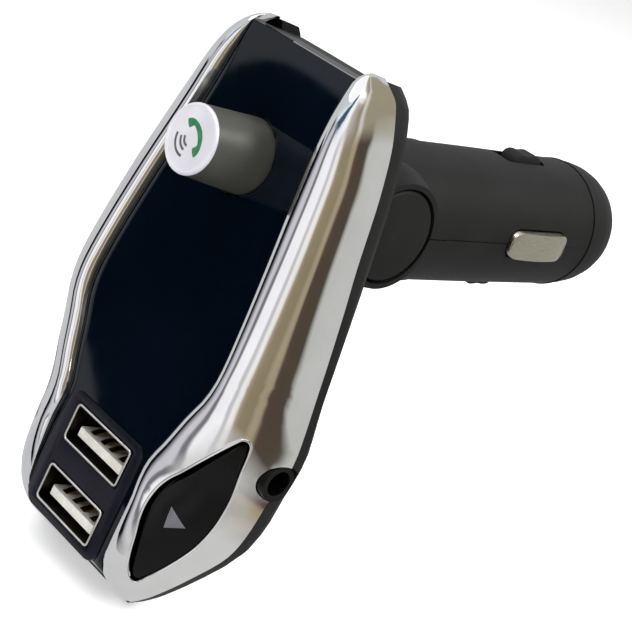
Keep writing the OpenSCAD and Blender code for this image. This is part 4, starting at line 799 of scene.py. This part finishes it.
floor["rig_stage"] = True

# Studio wall: a round wall and the floor at its foot, seen only in what is shiny. Its papers stand in bands,
# each from an angle in degrees (0 is straight ahead of the display, 90 to its right) that leans over with height
wallSet = {"centre": (30, -45), "radius": 300, "height": 450, "foot": 0.3, "sides": 96, "leanFirst": 30,
           "leanSecond": 500, "nearFloor": "#cdcdca", "near": (12, 34), "upperSpan": (170, 215), "waver": 5,
           "noise": 9.0, "pale": "#c8c9ca", "darkTop": (106, 109), "darkEdge": -48, "darkBow": 0.016, "darkTo": -30,
           "lower": [(-180, "#c6c6c4"), (-110, "#c8c8c6"), (-70, "#cfcfce"), (-65, "#121216"), (-42, "#101015"),
                     (-34, "#9a999c"), (-25, "#cbcacf"), (-15, "#cbcacf"), (-11, "#77777a"), (-5, "#77777a"),
                     (0, "#f6f6f6"), (26, "#fbfafc"), (31, "#c6c6c8"), (36, "#cac8c6"), (41, "#f5f4f0"),
                     (49, "#f0ede6"), (55, "#a59a85"), (62, "#918469"), (78, "#8c8166"), (84, "#a79a7f"),
                     (89, "#a3957b"), (93, "#54453a"), (107, "#4c4439"), (111, "#bebfb9"), (122, "#c3c3bf")],
           "upper": [(-180, "#c6c6c4"), (-60, "#cacdd0"), (-30, "#e3ebf4"), (-20, "#3f5062"), (2, "#46596b"),
                     (10, "#e9f1f8"), (30, "#fbfcfa"), (48, "#b7b2aa"), (70, "#9d9685"), (78, "#8a8470"),
                     (86, "#d5d2c8"), (94, "#99937c"), (130, "#99937c"), (160, "#c6c6c4")]}
wallFoot = cadLow.z + wallSet["foot"] * mm
bpy.ops.object.select_all(action="DESELECT")
bpy.ops.mesh.primitive_cylinder_add(
    vertices=wallSet["sides"], radius=wallSet["radius"] * mm, depth=wallSet["height"] * mm, end_fill_type="NGON",
    location=(wallSet["centre"][0] * mm, wallSet["centre"][1] * mm, wallFoot + wallSet["height"] * mm / 2))
wall = bpy.context.active_object
wall.name = "studioWall"
settle(wall)
bpy.ops.object.mode_set(mode="EDIT")
bpy.ops.mesh.select_all(action="DESELECT")
bpy.ops.object.mode_set(mode="OBJECT")
for face in wall.data.polygons:
    face.select = round(face.normal.z) == 1        # its lid
bpy.ops.object.mode_set(mode="EDIT")
bpy.ops.mesh.delete(type="FACE")
bpy.ops.object.mode_set(mode="OBJECT")


def bandRamp(tree, bands, turned):
    ramp = addNode(tree, "ValToRGB", {}, {"Fac": turned})
    stops = ramp.color_ramp.elements
    stops.remove(stops[1])
    stops[0].position, stops[0].color = (bands[0][0] + 180) / 360, linearColor(bands[0][1])
    for angle, code in bands[1:]:
        stops.new((angle + 180) / 360).color = linearColor(code)
    return ramp.outputs["Color"]


def between(tree, value, ends):        # a height or a distance, from 0 to 1 between two ends in millimetres
    return stretched(tree, value, span=(ends[0] * mm, ends[1] * mm))


wallPaper, tree = newMaterial("wallPaper")
spot = addNode(tree, "TexCoord").outputs["Object"]
centred = addNode(tree, "Mapping", {"Location": (-wallSet["centre"][0] * mm, -wallSet["centre"][1] * mm, -wallFoot)},
                  {"Vector": spot}).outputs["Vector"]
across, along, height = addNode(tree, "SeparateXYZ", {}, {"Vector": centred}).outputs
angle = computed(tree, "ARCTAN2", across, computed(tree, "MULTIPLY", along, -1.0))
share = stretched(tree, angle, span=(-math.pi, math.pi))
bend = computed(tree, "MULTIPLY_ADD", height, wallSet["leanSecond"] / 360, wallSet["leanFirst"] / 360)
turned = computed(tree, "SUBTRACT", share, computed(tree, "MULTIPLY", bend, height))
wave = addNode(tree, "TexNoise", {"Scale": wallSet["noise"], "Detail": 2.0}, {"Vector": centred})
waver = stretched(tree, wave.outputs["Fac"], -wallSet["waver"] / 360, wallSet["waver"] / 360, (0, 1))
turned = computed(tree, "ADD", turned, waver)
lower, upper = (bandRamp(tree, wallSet[level], turned) for level in ("lower", "upper"))
bands = blended(tree, between(tree, height, wallSet["upperSpan"]), lower, upper)
# The dark band ends in a bow, outside which the wall is pale
aside = computed(tree, "MINIMUM", computed(tree, "SUBTRACT", share, wallSet["darkEdge"] / 360 + 0.5), 0.0)
square = computed(tree, "MULTIPLY", aside, aside)
bow = computed(tree, "MULTIPLY", square, square)
bowed = computed(tree, "MULTIPLY_ADD", bow, wallSet["darkBow"] * 360 ** 4 * mm, height)
leftOf = computed(tree, "LESS_THAN", share, wallSet["darkTo"] / 360 + 0.5)
bands = blended(tree, computed(tree, "MULTIPLY", between(tree, bowed, wallSet["darkTop"]), leftOf), bands,
                wallSet["pale"])
away = addNode(tree, "VectorMath", {"operation": "LENGTH"}, {0: centred}).outputs["Value"]
paper = blended(tree, between(tree, away, wallSet["near"]), wallSet["nearFloor"], bands)
surface(tree, "Emission", {"Strength": 1.0}, {"Color": paper})
wall.data.materials.append(wallPaper)
for ray in ("camera", "diffuse", "transmission", "volume_scatter", "shadow"):
    setattr(wall, "visible_" + ray, False)
wall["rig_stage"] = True
print("studio wall set")

# World: even studio light, white where the camera or a mirror sees it
worldSet = {"level": 0.42, "seen": 1.0}
world = bpy.data.worlds.new("studioWorld")
world.use_nodes = True
scene.world = world
tree = world.node_tree
tree.nodes.clear()
strength = stretched(tree, seenRays(tree), worldSet["level"], worldSet["seen"], (0, 1))
sky = addNode(tree, "Background", {"Color": (1, 1, 1, 1)}, {"Strength": strength})
addNode(tree, "OutputWorld", {}, {"Surface": sky.outputs["Background"]})

# Soft boxes: a key from above and the left, a weaker fill from the right, one behind for the edges, a small one
# behind on the right for the glints, and one in front that the mirrors don't show
lampSets = {"keyBox": {"place": (-0.25, -0.35, 0.62), "size": 0.45, "power": 2.6},
            "fillBox": {"place": (0.55, -0.1, 0.35), "size": 0.4, "power": 1.0},
            "backBox": {"place": (-0.07, 0.62, 0.45), "size": 0.22, "power": 0.9},
            "glintBox": {"place": (0.38, 0.20, 0.44), "size": 0.14, "power": 2.2},
            "frontBox": {"place": (-0.05, -0.6, 0.15), "size": 0.4, "power": 1.1, "mirrored": False}}
for name, lampSet in lampSets.items():
    bpy.ops.object.select_all(action="DESELECT")
    bpy.ops.object.light_add(type="AREA", location=lampSet["place"])
    lamp = bpy.context.active_object
    lamp.name = name
    lamp.data.size = lampSet["size"]
    lamp.data.energy = lampSet["power"]
    lamp.visible_glossy = lampSet.get("mirrored", True)
    lamp.rotation_euler = Vector(lampSet["place"]).to_track_quat("Z", "Y").to_euler()
print("stage and lamps set")

# Boxes of the imported model and of what is shown
low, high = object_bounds()
